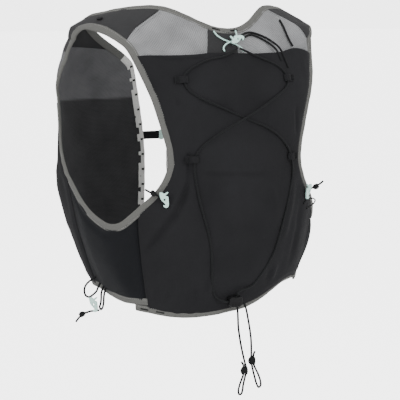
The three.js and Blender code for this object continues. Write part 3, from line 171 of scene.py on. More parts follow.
POCKET_FOLDS = [
    ((56, -0.45), (53, -0.62), 0.030, -1.6),
    ((53, -0.62), (35, -0.79), 0.034, -2.0),
    ((63, -0.535), (103, -0.544), 0.024, -1.0),
    ((47, -0.70), (36, -0.86), 0.036, 1.8),
    ((128, -0.60), (122, -0.80), 0.036, -1.6),
]
POCKET_CREASES = [
    ((63.4, -0.535), (84, -0.541), 0.006, -1.3),
    ((84, -0.541), (103.2, -0.545), 0.006, -1.1),
    ((63.4, -0.528), (103.2, -0.537), 0.008, 0.7),
    ((56.3, -0.467), (56.2, -0.552), 0.008, -1.5),
    ((56.2, -0.552), (51.1, -0.646), 0.009, -1.9),
    ((51.1, -0.646), (39.4, -0.746), 0.011, -2.3),
    ((39.4, -0.746), (32.9, -0.802), 0.012, -1.8),
    ((54.0, -0.560), (43.0, -0.690), 0.013, 1.5),
    ((43.0, -0.690), (34.5, -0.760), 0.014, 1.6),
    ((50.5, -0.295), (50.9, -0.322), 0.005, -0.9),
    ((70.0, -0.860), (68.5, -0.930), 0.006, 1.1),
    ((66.5, -0.870), (66.0, -0.920), 0.007, -1.0),
    ((112.0, -0.855), (110.0, -0.890), 0.012, -1.3),
    ((114.5, -0.840), (113.0, -0.885), 0.011, 1.7),
    ((44.0, -0.905), (40.0, -0.960), 0.006, 1.1),
    ((49.0, -0.915), (46.5, -0.965), 0.006, 1.0),
    ((54.0, -0.925), (52.0, -0.968), 0.006, 0.9),
    ((36.5, -0.890), (35.5, -0.950), 0.006, 1.1),
    ((60.5, -0.900), (59.5, -0.965), 0.007, -0.9),
    ((127, -0.330), (127.5, -0.420), 0.008, -1.0),
    ((125.5, -0.560), (118, -0.760), 0.014, 1.2),
    ((131, -0.640), (127, -0.840), 0.012, -1.3),
    ((95, -0.170), (80, -0.300), 0.030, 0.8),
    ((72, -0.230), (60, -0.330), 0.022, -0.7),
    ((84, -0.560), (80, -0.800), 0.028, 0.8),
    ((96, -0.600), (100, -0.850), 0.026, -0.8),
    ((74, -0.640), (62, -0.830), 0.020, 0.9),
    ((108, -0.570), (112, -0.720), 0.018, 0.8),
]
YOKE_CREASES = [
    ((32.5, -0.045), (36.0, -0.100), 0.012, 1.1),
    ((38.5, -0.050), (39.5, -0.110), 0.010, -0.9),
    ((44.0, -0.030), (43.0, -0.105), 0.012, 0.9),
    ((52.0, -0.010), (49.0, -0.090), 0.016, -0.7),
    ((60.0, 0.000), (57.0, -0.085), 0.016, 0.6),
    ((120.0, 0.000), (126.0, -0.100), 0.014, 0.7),
    ((131.0, 0.000), (133.0, -0.090), 0.012, -0.7),
]

# Bound edges as (across, off) around the fold, and the stitching on them, in millimetres

FOLD_SECTION = [
    (9.0, -0.35), (8.6, -0.62), (7.0, -0.70), (4.6, -0.72), (2.2, -0.70), (0.9, -0.45),
    (0.2, 0.10), (0.0, 0.90), (0.2, 1.72), (0.9, 2.28), (2.2, 2.52), (4.6, 2.55), (6.4, 2.42),
    (7.3, 2.02), (8.1, 2.30), (8.8, 2.16), (9.0, 1.85),
]
PATCH_SINK = 1.15                   # the neck patch sinks this far under the neckline binding
BINDING_TACKS = {"neck": (0.489, 0.528), "hem_back": (0.05, 0.13, 0.93)}
TACK_LENGTH = 9.5
BINDING_TACK_STITCHES = 18
BINDING_TACK_ACROSS = 4.6
BINDING_TACK_OFF = 2.58
BINDING_STITCH_ACROSS = 7.35
BINDING_STITCH_OFF = 2.14
STRIP_TACK_ACROSS = 3.2
STRIP_TACK_OFF = 0.74
MOUTH_STITCH_OFF = 0.35

# Lacing, hooks and other small pieces. Rows are (turn, lift) or (turn, lift, over) for the laces,
# (turn, lift, off) for the other cords on the cloth

LACE_ONE = [
    (89.7, -0.078), (83.6, -0.102), (77.6, -0.120), (67.6, -0.139), (59.0, -0.171),
    (54.1, -0.202), (52.7, -0.220), (53.2, -0.240), (55.4, -0.268), (61.0, -0.295),
    (69.6, -0.317), (88.0, -0.361), (103.5, -0.393), (111.0, -0.417), (116.0, -0.441),
    (120.1, -0.468), (122.3, -0.494), (123.5, -0.540), (120.2, -0.617), (116.6, -0.684),
    (111.0, -0.796), (104.0, -0.864), (98.0, -0.902),
]
LACE_TWO = [
    (92.2, -0.080), (102.0, -0.115), (116.0, -0.169), (119.6, -0.193), (121.3, -0.218),
    (121.7, -0.240), (118.6, -0.268), (113.5, -0.289), (107.3, -0.308, 0.6),
    (97.5, -0.336, 2.4), (88.0, -0.361, 3.0), (78.0, -0.387, 2.4), (68.7, -0.419, 0.4),
    (62.9, -0.445), (59.8, -0.467), (58.6, -0.489), (58.3, -0.520), (60.7, -0.616),
    (66.5, -0.740), (68.0, -0.808), (69.2, -0.884), (72.0, -0.930),
]
LACE_LOOPS = [
    ("lace_loop_upper_left", 53.0, -0.230, -1), ("lace_loop_upper_right", 121.6, -0.229, 1),
    ("lace_loop_middle_left", 58.5, -0.489, -1), ("lace_loop_middle_right", 122.2, -0.492, 1),
]
LOOP_WIDTH = 8.0
LOOP_SEAT = 1.0
LOOP_ARCH = [(11, 0), (5.2, 0), (3.0, 0.7), (1.7, 1.1), (-1.7, 1.1), (-3.0, 0.7), (-4.6, 0)]
LOCK_SEAT = (84.5, -0.945)
LOCK_OUTLINE = [
    (-0.5, -0.28), (-0.34, -0.5), (0.34, -0.5), (0.5, -0.28), (0.5, 0.3), (0.36, 0.5), (0, 0.4),
    (-0.36, 0.5), (-0.5, 0.3),
]

# Free tails as (across, down) in millimetres from the first tail's start

TAIL_ACROSS = 4.2
TAIL_LEFT = [
    (0, 0), (0.3, 6), (0.7, 14), (1.2, 24), (2.6, 34), (4.4, 44), (7.2, 56), (10.4, 68),
    (12.0, 73), (11.4, 81), (9.4, 88), (7.9, 94), (7.2, 99), (5.2, 104), (2.4, 104),
    (1.5, 99.5), (3.2, 93), (6.2, 86), (8.6, 80), (9.2, 73), (7.4, 68.5), (5.6, 66),
]
TAIL_LEFT_KNOT = (10.3, 76.5)
TAIL_RIGHT = [
    (4.8, -5), (7.6, -4), (10.4, 0), (12.8, 8), (14.8, 17.5), (17.0, 29), (18.6, 41),
    (19.0, 52), (19.0, 61), (19.6, 70), (21.2, 77), (23.5, 85), (26.4, 94), (29.3, 98.5),
    (32.0, 96.5), (31.6, 91), (28.2, 82), (24.4, 75), (22.4, 70), (21.8, 61), (22.6, 57.5),
    (24.0, 55),
]
TAIL_RIGHT_KNOT = (20.7, 65.5)

TOP_HOOK = (91.8, -0.040, 9.6)
TOP_CORD_LONG = [
    (74.0, 0.006, 4.8), (76.5, -0.016, 4.8), (80.5, -0.030, 4.8), (86.0, -0.042, 4.8),
    (91.0, -0.054, 4.8), (94.5, -0.072, 5.2), (95.0, -0.092, 6.6),
]
TOP_CORD_SHORT = [
    (95.0, 0.014, 4.8), (94.0, -0.010, 5.4), (91.0, -0.030, 6.9), (86.5, -0.044, 7.1),
    (82.0, -0.056, 5.8), (79.6, -0.074, 5.2), (79.6, -0.092, 6.2),
]
YOKE_CORD_UPPER = [
    (97.5, -0.014, 4.2), (102.0, -0.004, 3.4), (108.8, -0.001, 3.4), (117.0, -0.027, 3.4),
    (122.5, -0.064, 4.4), (124.6, -0.104, 7.6), (124.8, -0.130, 8.0), (124.8, -0.162, 8.2),
    (125.2, -0.190, 8.2),
]
YOKE_CORD_LOWER = [
    (98.5, -0.028, 4.2), (103.0, -0.018, 3.4), (108.6, -0.014, 3.4), (115.2, -0.038, 3.4),
    (119.6, -0.072, 4.8), (121.2, -0.106, 7.8), (121.6, -0.132, 8.2), (121.8, -0.156, 8.4),
]
SHOULDER_CORD = [
    (144.0, -0.004, 3.4), (140.6, -0.034, 3.4), (138.5, -0.062, 3.4), (137.4, -0.088, 3.6),
    (137.2, -0.112, 4.0),
]
SHOULDER_TAB = {"turn": 6.5, "lift": -0.062, "off": 3.2, "width": 8, "height": 5, "wall": 1.8}
SIDE_HOOK = (43.9, -0.613, 10.6)
SIDE_KNOT_INDEX = 3
SIDE_CORD_LEFT = [
    (45.6, -0.622, 6.2), (43.4, -0.609, 6.2), (41.2, -0.600, 6.4), (39.3, -0.594, 6.6),
    (37.4, -0.587, 6.8), (35.8, -0.580, 6.8),
]
SIDE_CORD_RIGHT = [
    (134.6, -0.620, 6.2), (137.0, -0.611, 6.4), (139.6, -0.605, 8.0), (142.2, -0.598, 11.0),
    (144.4, -0.590, 13.6), (146.0, -0.582, 15.4),
]
SIDE_LOOP_RIGHT = [
    (133.1, -0.652, 5.4), (135.2, -0.644, 6.2), (137.4, -0.638, 7.8), (140.2, -0.637, 10.6),
    (142.0, -0.644, 12.0), (141.4, -0.655, 11.0), (139.0, -0.664, 8.6), (136.4, -0.669, 6.2),
]

# Hem hook and its cords as (side, back, lift): shares of the chest's half width, the back's
# depth and the height

HEM_HOOK = (0.815, -0.300, -0.984)
HEM_HOOK_FACING = 42
HEM_LOOP = [
    (0.785, -0.326, -0.894), (0.822, -0.372, -0.908), (0.845, -0.404, -0.924),
    (0.849, -0.421, -0.942), (0.843, -0.406, -0.956), (0.830, -0.362, -0.960),
    (0.809, -0.336, -0.953), (0.790, -0.298, -0.940), (0.794, -0.244, -0.924),
    (0.780, -0.232, -0.910),
]
HEM_STRANDS = [
    (0.767, -0.190, -0.920), (0.785, -0.190, -0.940), (0.787, -0.192, -0.962),
    (0.789, -0.202, -0.978), (0.792, -0.216, -0.988), (0.788, -0.196, -0.996),
    (0.784, -0.166, -0.988), (0.782, -0.148, -0.972), (0.780, -0.144, -0.950),
    (0.767, -0.144, -0.924),
]
HEM_KNOT_INDEX = 4
HEM_TAIL = [
    (0.777, -0.274, -1.002), (0.797, -0.312, -1.005), (0.815, -0.368, -1.008),
    (0.838, -0.414, -1.014), (0.854, -0.462, -1.022), (0.868, -0.505, -1.034),
    (0.880, -0.542, -1.048),
]

HOOK_OUTLINE = [
    (-0.33, 0.50), (-0.23, 0.07), (-0.09, -0.09), (0.07, -0.23), (0.08, -0.34), (-0.05, -0.31),
    (-0.04, -0.41), (0.11, -0.50), (0.24, -0.46), (0.31, -0.30), (0.29, -0.03), (0.26, 0.26),
    (0.04, 0.27), (0.28, 0.47), (0.23, 0.55), (-0.01, 0.39), (-0.09, 0.50),
]
HOOK_HOLE = (0.02, 0.03, 1.1)

# Strap across the open front

STRAP_LIFT = -0.452
STRAP_OFF = 3.0
STRAP_REACH = 25.5
STRAP_WIDTH = 10.0
STRAP_WALL = 1.6
BUCKLE_LEFT = -6.8
BUCKLE_RIGHT = -14.0
BUCKLE_HEIGHT = 12.5
BUCKLE_THICKNESS = 3.4

# Camera, light and floor, in metres, degrees and watts

CAMERA_TARGET = (0.00208, -0.0012, -0.235)
CAMERA_DISTANCE = 2.2
CAMERA_AZIMUTH = 150.0
CAMERA_ELEVATION = 6.0
CAMERA_LENS = 164.9
FLOOR_HEIGHT = -0.60
FRONT_POWER = 46
SIDE_POWER = 34
TOP_POWER = 12
STUDIO_FILL = 1.18                  # strength of the white around the vest, as it lights it
STUDIO_WHITE = 4.0                  # as the camera sees it; brighter white eats into the thin cords


# Torso chart


def section_at(height):
    drop = np.clip(-height / VEST_HEIGHT, 0, SECTIONS[-1, 0])
    side = np.interp(drop, SECTIONS[:, 0], SECTIONS[:, 1]) * CHEST_HALF_WIDTH
    front = np.interp(drop, SECTIONS[:, 0], SECTIONS[:, 2]) * FRONT_DEPTH
    back = np.interp(drop, SECTIONS[:, 0], SECTIONS[:, 3]) * BACK_DEPTH
    return side, front, back


def torso(points):
    """The value is 1 on the torso and less inside."""
    side, front, back = section_at(points[..., 2])
    depth = points[..., 1] + TORSO_SET_FORWARD
    power = np.where(depth > 0, BACK_SQUARENESS, FRONT_SQUARENESS)
    half = np.where(depth > 0, back, front)
    total = np.abs(points[..., 0] / side) ** power + np.abs(depth / half) ** power
    closing = np.maximum(points[..., 2] - SHOULDER_LIFT, 0) / SHOULDER_CLOSE_HEIGHT
    return total ** (SECTION_POWER / power) + closing ** SHOULDER_CLOSE_POWER


def surface(turn, lift):
    """Points of the torso at chart places, in millimetres."""
    turn, lift = np.broadcast_arrays(np.asarray(turn, float), np.asarray(lift, float))
    around = np.radians(turn)
    height = lift * VEST_HEIGHT
    slope = np.maximum(0, (height - SHOULDER_LIFT) / LIFT_ARM)
    start = np.stack([
        np.zeros_like(height),
        np.full_like(height, -TORSO_SET_FORWARD),
        np.minimum(height, SHOULDER_LIFT),
    ], -1)
    way = np.stack([
        np.cos(around) * np.cos(slope),
        np.sin(around) * np.cos(slope),
        np.sin(slope),
    ], -1)
    near = np.zeros_like(height)
    far = np.full_like(height, 3 * CHEST_HALF_WIDTH)
    for _ in range(26):
        middle = (near + far) / 2
        inside = torso(start + way * middle[..., None]) < 1
        near = np.where(inside, middle, near)
        far = np.where(inside, far, middle)
    return start + way * near[..., None]


def unit(vectors):
    size = np.linalg.norm(vectors, axis=-1, keepdims=True)
    return vectors / np.maximum(size, 1e-9)


def outward(points):
    steps = np.eye(3) * 0.5
    slope = [torso(points + step) - torso(points - step) for step in steps]
    return unit(np.stack(slope, -1))


def chart_of(points):
    depth = points[..., 1] + TORSO_SET_FORWARD
    turn = np.degrees(np.arctan2(depth, points[..., 0]))
    above = np.arctan2(points[..., 2] - SHOULDER_LIFT, np.hypot(points[..., 0], depth))
    low = points[..., 2] <= SHOULDER_LIFT
    height = np.where(low, points[..., 2], SHOULDER_LIFT + LIFT_ARM * above)
    return np.where(turn < -90, turn + 360, turn), height / VEST_HEIGHT


def off_surface(turn, lift, off):
    base = surface(turn, lift)
    return base + outward(base) * np.asarray(off, float)[..., None]


# Runs of chart places, as arrays with a (turn, lift) row for each place


def mirrored(places):
    flipped = np.array(places, float)
    flipped[:, 0] = 180 - flipped[:, 0]
    return flipped


def spline(points, samples, closed=False):
    """Centripetal Catmull-Rom curve through the points, evenly stepped in its own parameter."""
    points = np.asarray(points, float)
    count = len(points)
    spans = count if closed else count - 1
    result = []
    for t in np.linspace(0, 1, samples + 1):
        place = min(t * spans, spans - 1e-9)
        i = int(place)
        w = place - i
        if closed:
            before, a, b, after = (points[(i + k) % count] for k in (-1, 0, 1, 2))
        else:
            a, b = points[i], points[i + 1]
            before = points[i - 1] if i > 0 else 2 * points[0] - points[1]
            after = points[i + 2] if i + 2 < count else 2 * points[-1] - points[-2]
        gaps = [max(np.sum((q - p) ** 2) ** 0.25, 1e-4)
                for p, q in ((before, a), (a, b), (b, after))]
        start = (a - before) / gaps[0] - (b - before) / (gaps[0] + gaps[1]) + (b - a) / gaps[1]
        end = (b - a) / gaps[1] - (after - a) / (gaps[1] + gaps[2]) + (after - b) / gaps[2]
        start, end = start * gaps[1], end * gaps[1]
        result.append(
            a + start * w + (-3 * a + 3 * b - 2 * start - end) * w ** 2
            + (2 * a - 2 * b + start + end) * w ** 3)
    return np.array(result)


def run_length(points):
    steps = np.linalg.norm(np.diff(points, axis=0), axis=1)
    return np.concatenate([[0], np.cumsum(steps)])


def at_lengths(places, lengths, wanted):
    return np.stack([np.interp(wanted, lengths, places[:, k]) for k in range(places.shape[1])], -1)


def trace(rows, count, closed=False):
    rows = np.array(rows, float)
    scaled = np.column_stack([rows[:, 0] / 100, rows[:, 1], np.zeros(len(rows))])
    places = spline(scaled, 12 * len(rows), closed)[:, :2] * (100, 1)
    lengths = run_length(surface(places[:, 0], places[:, 1]))
    return at_lengths(places, lengths, np.linspace(0, lengths[-1], count + 1))


def run_directions(points, closed=False):
    before = np.roll(points, 1, axis=0)
    after = np.roll(points, -1, axis=0)
    if closed:
        before[0] = points[-2]
        after[-1] = points[1]
    else:
        before[0] = points[0]
        after[-1] = points[-1]
    return unit(after - before)


def inset(places, distance, closed=False):
    points = surface(places[:, 0], places[:, 1])
    side = unit(np.cross(outward(points), run_directions(points, closed)))
    turn, lift = chart_of(points + side * distance)
    return np.stack([turn, lift], -1)


def nearest_length(places, place, after=-1.0):
    points = surface(places[:, 0], places[:, 1])
    lengths = run_length(points)
    away = np.linalg.norm(points - surface(*place), axis=1)
    away[lengths <= after] = np.inf
    return lengths, lengths[int(np.argmin(away))]


def between(places, a, b, count):
    """Part of a run between its places nearest to a and b."""
    lengths, start = nearest_length(places, a)
    _, end = nearest_length(places, b, start)
    return at_lengths(places, lengths, np.linspace(start, end, count + 1))


def straight(a, b, count):
    share = np.linspace(0, 1, count + 1)[:, None]
    return np.asarray(a, float) * (1 - share) + np.asarray(b, float) * share


def joined(*runs):
    return np.concatenate([runs[0]] + [run[1:] for run in runs[1:]])


# Swell, folds and fine wrinkles, in millimetres


def smooth(t):
    t = np.clip(t, 0, 1)
    return t * t * (3 - 2 * t)


def pocket_spread(turn, lift):
    half = np.interp(lift, POCKET_SIDES[:, 0], POCKET_SIDES[:, 1])
    return np.clip(np.abs(turn - 90) / half, 0, 1)


def fold_rise(points, folds, fine=1.0):
    rise = np.zeros(points.shape[:-1])
    for start, end, width, height in folds:
        a = surface(*start)
        span = surface(*end) - a
        share = np.clip(((points - a) @ span) / (span @ span), 0, 1)
        away = np.linalg.norm(points - a - share[..., None] * span, axis=-1)
        fade = 1 - (1 - fine) * np.abs(2 * share - 1) ** 4
        rise += height * fade * np.exp(-(away / (width * VEST_HEIGHT)) ** 2)
    return rise


def pocket_inner(turn, lift):
    spread = pocket_spread(turn, lift)
    middle = np.interp(lift, POCKET_SWELL[:, 0], POCKET_SWELL[:, 1])
    folds = fold_rise(surface(turn, lift), POCKET_FOLDS)
    body = middle * (1 - spread ** 3) + folds * (1 - spread ** 4)
    return POCKET_SEAT + np.maximum(0, body)


def pocket_outer(turn, lift):
    rows = np.array(POCKET_MOUTH)
    mouth = np.interp(turn, rows[:, 0], rows[:, 1])
    return pocket_inner(turn, np.minimum(lift, mouth)) + POCKET_WALL


def rumple(points, size, seed, stretch=(1, 1, 1)):
    """Soft seeded unevenness between -1 and 1, with bumps of about the given size."""
    scaled = points * np.array(stretch) / size + seed
    flat = scaled.reshape(-1, 3)
    values = [noise.noise(Vector(p)) for p in flat]
    return np.array(values).reshape(points.shape[:-1]) * 2


# Meshes


def new_object(name, mesh):
    obj = bpy.data.objects.new(name, mesh)
    bpy.context.scene.collection.objects.link(obj)
    return obj


def mesh_object(name, vertices, faces, material, uvs=None, scale=MM):
    mesh = bpy.data.meshes.new(name)
    mesh.from_pydata((np.asarray(vertices) * scale).tolist(), [], faces)
    if uvs is not None:
        layer = mesh.uv_layers.new(name="cloth")
        index = np.empty(len(mesh.loops), dtype=np.int64)
        mesh.loops.foreach_get("vertex_index", index)
        layer.data.foreach_set("uv", np.asarray(uvs)[index].ravel())
    mesh.polygons.foreach_set("use_smooth", [True] * len(mesh.polygons))
    mesh.materials.append(material)
    mesh.update()
    return new_object(name, mesh)


def grid_uv(grid):
    """Metres along both ways of a grid of points."""
    across = np.linalg.norm(np.diff(grid, axis=1), axis=2)
    down = np.linalg.norm(np.diff(grid, axis=0), axis=2)
    u = np.concatenate([np.zeros((grid.shape[0], 1)), np.cumsum(across, axis=1)], axis=1)
    v = np.concatenate([np.zeros((1, grid.shape[1])), np.cumsum(down, axis=0)], axis=0)
    u -= u.mean(axis=1, keepdims=True)
    return np.stack([u * MM, v * MM], -1)


def wall_faces(rows, columns):
    """Quads of a closed wall of two layers of points, (rows + 1) by (columns + 1) each."""
    stride = columns + 1
    layer = (rows + 1) * stride
    i, j = np.meshgrid(np.arange(rows), np.arange(columns), indexing="ij")
    a = (i * stride + j).ravel()
    top = np.stack([a, a + 1, a + stride + 1, a + stride], -1)
    low = top[:, ::-1] + layer
    ring = np.concatenate([
        np.arange(columns),
        columns + stride * np.arange(rows),
        rows * stride + np.arange(columns, 0, -1),
        stride * np.arange(rows, 0, -1),
    ])
    after = np.roll(ring, -1)
    rim = np.stack([ring, ring + layer, after + layer, after], -1)
    return np.concatenate([top, low, rim]).tolist()


def cloth_wall(name, outer, inner, material, turned):
    """Closed wall of cloth between two grids of points. turned swaps the faces' way round."""
    rows, columns = outer.shape[0] - 1, outer.shape[1] - 1
    faces = wall_faces(rows, columns)
    if turned:
        faces = [face[::-1] for face in faces]
    uv = grid_uv(outer).reshape(-1, 2)
    vertices = np.concatenate([outer.reshape(-1, 3), inner.reshape(-1, 3)])
    obj = mesh_object(name, vertices, faces, material, np.concatenate([uv, uv]))
    return face_outwards(obj)


def face_outwards(obj):
    """Turns a closed mesh's faces to point out if its volume comes out negative."""
    mesh = obj.data
    mesh.calc_loop_triangles()
    corners = np.empty(len(mesh.loop_triangles) * 3, dtype=np.int64)
    mesh.loop_triangles.foreach_get("vertices", corners)
    places = np.empty(len(mesh.vertices) * 3)
    mesh.vertices.foreach_get("co", places)
    a, b, c = places.reshape(-1, 3)[corners.reshape(-1, 3)].transpose(1, 0, 2)
    if np.einsum("ij,ij->i", a, np.cross(b, c)).sum() < 0:
        mesh.flip_normals()
    return obj


def coons(top, bottom, left, right):
    """Chart places of a patch whose edges are the four runs, with the rows running down."""
    v = np.linspace(0, 1, len(left))[:, None, None]
    u = np.linspace(0, 1, len(top))[None, :, None]
    corners = (top[0] * (1 - u) + top[-1] * u) * (1 - v) + (bottom[0] * (1 - u) + bottom[-1] * u) * v
    places = top[None] * (1 - v) + bottom[None] * v + left[:, None] * (1 - u) + right[:, None] * u
    places = places - corners
    return places[..., 0], places[..., 1], u[..., 0], v[..., 0]


def tube_rings(path, radius, sides, flat=1.0):
    """Rings of points around a path, turned as little as possible from one to the next."""
    way = run_directions(path)
    side = unit(np.cross(way[0], [0.3, 0.5, 0.8]))
    rings = []
    angles = np.linspace(0, 2 * math.pi, sides, endpoint=False)
    for p, w, r in zip(path, way, np.broadcast_to(radius, len(path))):
        side = unit(side - w * (side @ w))
        up = np.cross(w, side)
        rings.append(p + r * (np.cos(angles)[:, None] * side
                              + flat * np.sin(angles)[:, None] * up))
    return np.array(rings)


def loft(name, rings, material, closed=False, scale=MM):
    """Closed body through rings of points, with round caps where the rings don't close."""
    count, sides = rings.shape[:2]
    seam = np.concatenate([rings, rings[:, :1]], axis=1)
    around = np.cumsum(np.linalg.norm(np.diff(seam, axis=1), axis=2), axis=1).mean(axis=0)
    around = np.concatenate([[0], around])
    along = run_length(rings.mean(axis=1))
    vertices = seam.reshape(-1, 3)
    uv = np.stack(np.broadcast_arrays(around[None, :], along[:, None]), -1).reshape(-1, 2) * scale
    stride = sides + 1
    faces = []
    for i in range(count - 1):
        for j in range(sides):
            a = i * stride + j
            faces.append((a, a + 1, a + stride + 1, a + stride))
    if not closed:
        faces.append(tuple(range(sides))[::-1])
        faces.append(tuple((count - 1) * stride + j for j in range(sides)))
    obj = mesh_object(name, vertices, faces, material, uv, scale)
    weld(obj)
    return face_outwards(obj)


def weld(obj):
    """Joins the doubled points of a seam, which keeps the pattern's own seam."""
    work = bmesh.new()
    work.from_mesh(obj.data)
    bmesh.ops.remove_doubles(work, verts=work.verts, dist=1e-7)
    work.to_mesh(obj.data)
    work.free()
    obj.data.update()


def cord_path(points, step):
    fine = spline(points, 16 * len(points))
    lengths = run_length(fine)
    count = max(8, int(round(lengths[-1] / step)))
    return at_lengths(fine, lengths, np.linspace(0, lengths[-1], count + 1))


def cord_tube(name, points, diameter, material, step=0.8, sides=12):
    path = cord_path(points, step)
    return loft(name, tube_rings(path, diameter / 2, sides), material), path


# Finishes


class Finish:
    """A material and the nodes that build it up."""

    def __init__(self, name, colour, roughness, gloss=0.06):
        self.material = bpy.data.materials.new(name)
        self.material.use_nodes = True
        self.tree = self.material.node_tree
        self.shader = self.tree.nodes["Principled BSDF"]
        self.set("Base Color", (*colour, 1))
        self.set("Roughness", roughness)
        self.set("Specular IOR Level", gloss)

    def set(self, socket, value):
        self.shader.inputs[socket].default_value = value

    def node(self, kind, **settings):
        made = self.tree.nodes.new(kind)
        for key, value in settings.items():
            setattr(made, key, value)
        return made

    def link(self, source, target):
        self.tree.links.new(source, target)

    def cloth_place(self, scale):
        """The piece's own cloth coordinates, in metres, scaled."""
        place = self.node("ShaderNodeUVMap", uv_map="cloth")
        mapping = self.node("ShaderNodeMapping")
        mapping.inputs["Scale"].default_value = scale
        self.link(place.outputs["UV"], mapping.inputs["Vector"])
        return mapping.outputs["Vector"]

    def object_place(self, scale):
        place = self.node("ShaderNodeTexCoord")
        mapping = self.node("ShaderNodeMapping")
        mapping.inputs["Scale"].default_value = scale
        self.link(place.outputs["Object"], mapping.inputs["Vector"])
        return mapping.outputs["Vector"]

    def ramp(self, source, stops):
        ramp = self.node("ShaderNodeValToRGB")
        while len(ramp.color_ramp.elements) < len(stops):
            ramp.color_ramp.elements.new(0.5)
        for element, (place, colour) in zip(ramp.color_ramp.elements, stops):
            element.position = place
            element.color = (*colour, 1)
        self.link(source, ramp.inputs["Fac"])
        return ramp.outputs["Color"]

    def math(self, operation, a, b=0.5):
        made = self.node("ShaderNodeMath", operation=operation)
        for socket, value in zip(made.inputs, (a, b)):
            if isinstance(value, (int, float)):
                socket.default_value = value
            else:
                self.link(value, socket)
        return made.outputs["Value"]

    def noise(self, place, scale, detail=2.0):
        made = self.node("ShaderNodeTexNoise")
        made.inputs["Scale"].default_value = scale
        made.inputs["Detail"].default_value = detail
        self.link(place, made.inputs["Vector"])
        return made.outputs["Fac"]

    def bump(self, height, depth, strength=1.0, onto=None):
        made = self.node("ShaderNodeBump")
        made.inputs["Distance"].default_value = depth
        made.inputs["Strength"].default_value = strength
        self.link(height, made.inputs["Height"])
        if onto is not None:
            self.link(onto, made.inputs["Normal"])
        self.link(made.outputs["Normal"], self.shader.inputs["Normal"])
        return made.outputs["Normal"]

    def colour(self, output):
        self.link(output, self.shader.inputs["Base Color"])

    def rough(self, source, low, high):
        made = self.node("ShaderNodeMapRange")
        made.inputs["To Min"].default_value = low
        made.inputs["To Max"].default_value = high
        self.link(source, made.inputs["Value"])
        self.link(made.outputs["Result"], self.shader.inputs["Roughness"])


def shade(colour, factor):
    return tuple(channel * factor for channel in colour)


def stripes(finish, place, axis, pitch):
    """Sine bands of the given pitch in metres along one axis of the place."""
    split = finish.node("ShaderNodeSeparateXYZ")
    finish.link(place, split.inputs["Vector"])
    turned = finish.math("MULTIPLY", split.outputs[axis], 2 * math.pi / pitch)
    return finish.math("MULTIPLY_ADD", finish.math("SINE", turned, 0.0), 0.5)


def add_sheen(finish, weight, roughness):
    finish.set("Sheen Weight", weight)
    finish.set("Sheen Roughness", roughness)


def open_mesh(name, colour, pitch, depth, hole):
    """Knitted net: rows of small rounded holes, set half a step apart from row to row."""
    finish = Finish(name, colour, 0.85)
    add_sheen(finish, 0.05, 0.5)
    place = finish.cloth_place((1 / pitch, 1 / (pitch * 0.866), 0))
    split = finish.node("ShaderNodeSeparateXYZ")
    finish.link(place, split.inputs["Vector"])
    row = finish.math("FLOOR", split.outputs["Y"], 0.0)
    shift = finish.math("MULTIPLY", finish.math("MODULO", row, 2.0), 0.5)
    join = finish.node("ShaderNodeCombineXYZ")
    across = finish.math("FRACT", finish.math("ADD", split.outputs["X"], shift), 0.0)
    down = finish.math("FRACT", split.outputs["Y"], 0.0)
    finish.link(finish.math("SUBTRACT", across, 0.5), join.inputs["X"])
    finish.link(finish.math("SUBTRACT", down, 0.5), join.inputs["Y"])
    size = finish.node("ShaderNodeVectorMath", operation="LENGTH")
    finish.link(join.outputs["Vector"], size.inputs[0])
    away = size.outputs["Value"]
    broad = finish.noise(finish.object_place((1, 1, 1)), 26.0, 3.0)
    tone = finish.ramp(away, [(0.0, shade(colour, hole)), (0.26, shade(colour, hole * 1.15)),
                              (0.36, shade(colour, 1.02)), (0.6, shade(colour, 1.12))])
    mixed = finish.node("ShaderNodeMix", data_type="RGBA", blend_type="MULTIPLY")
    mixed.inputs["Factor"].default_value = 1.0
    finish.link(tone, mixed.inputs[6])
    finish.link(finish.ramp(broad, [(0.32, (0.80, 0.80, 0.80)), (0.66, (1.10, 1.10, 1.10))]),
                mixed.inputs[7])
    # painted shade: below the pocket's mouth the net is multiplied down to 0.36 where the pocket lies
    # behind it, standing in for the light that no longer shines through the holes, and for the dark
    # pocket seen through them
    pocket_shade = finish.node("ShaderNodeAttribute", attribute_name="pocket_shade")
    pocket_shading = finish.node("ShaderNodeMix", data_type="RGBA", blend_type="MULTIPLY")
    finish.link(pocket_shade.outputs["Fac"], pocket_shading.inputs["Factor"])
    finish.link(mixed.outputs[2], pocket_shading.inputs[6])
    pocket_shading.inputs[7].default_value = (0.36, 0.36, 0.36, 1)
    finish.colour(pocket_shading.outputs[2])
    finish.bump(finish.ramp(away, [(0.22, (0, 0, 0)), (0.42, (1, 1, 1))]), depth)
    return finish.material


def fine_weave(name, colour, pitch, crinkle, sheen):
    """Thin tightly woven cloth with a fine check of thicker threads and soft crinkles."""
    finish = Finish(name, colour, 0.8, 0.06)
    add_sheen(finish, sheen, 0.45)
    place = finish.cloth_place((1, 1, 1))
    warp = stripes(finish, place, "X", pitch)
    weft = stripes(finish, place, "Y", pitch)
    threads = finish.math("MULTIPLY", warp, weft)
    thick_warp = finish.math("POWER", stripes(finish, place, "X", pitch * 10), 24.0)
    thick_weft = finish.math("POWER", stripes(finish, place, "Y", pitch * 10), 24.0)
    check = finish.math("MAXIMUM", thick_warp, thick_weft)
    creases = finish.noise(finish.object_place((1, 1, 1)), 95.0, 5.0)
    broad = finish.noise(finish.object_place((1, 1, 1)), 14.0, 3.0)
    finish.colour(finish.ramp(broad, [(0.3, shade(colour, 0.86)), (0.7, shade(colour, 1.16))]))
    finish.rough(creases, 0.72, 0.86)
    weave = finish.math("ADD", finish.math("MULTIPLY", threads, 0.6),
                        finish.math("MULTIPLY", check, 0.8))
    first = finish.bump(weave, 0.00006)
    finish.bump(creases, crinkle, 0.55, onto=first)
    return finish.material


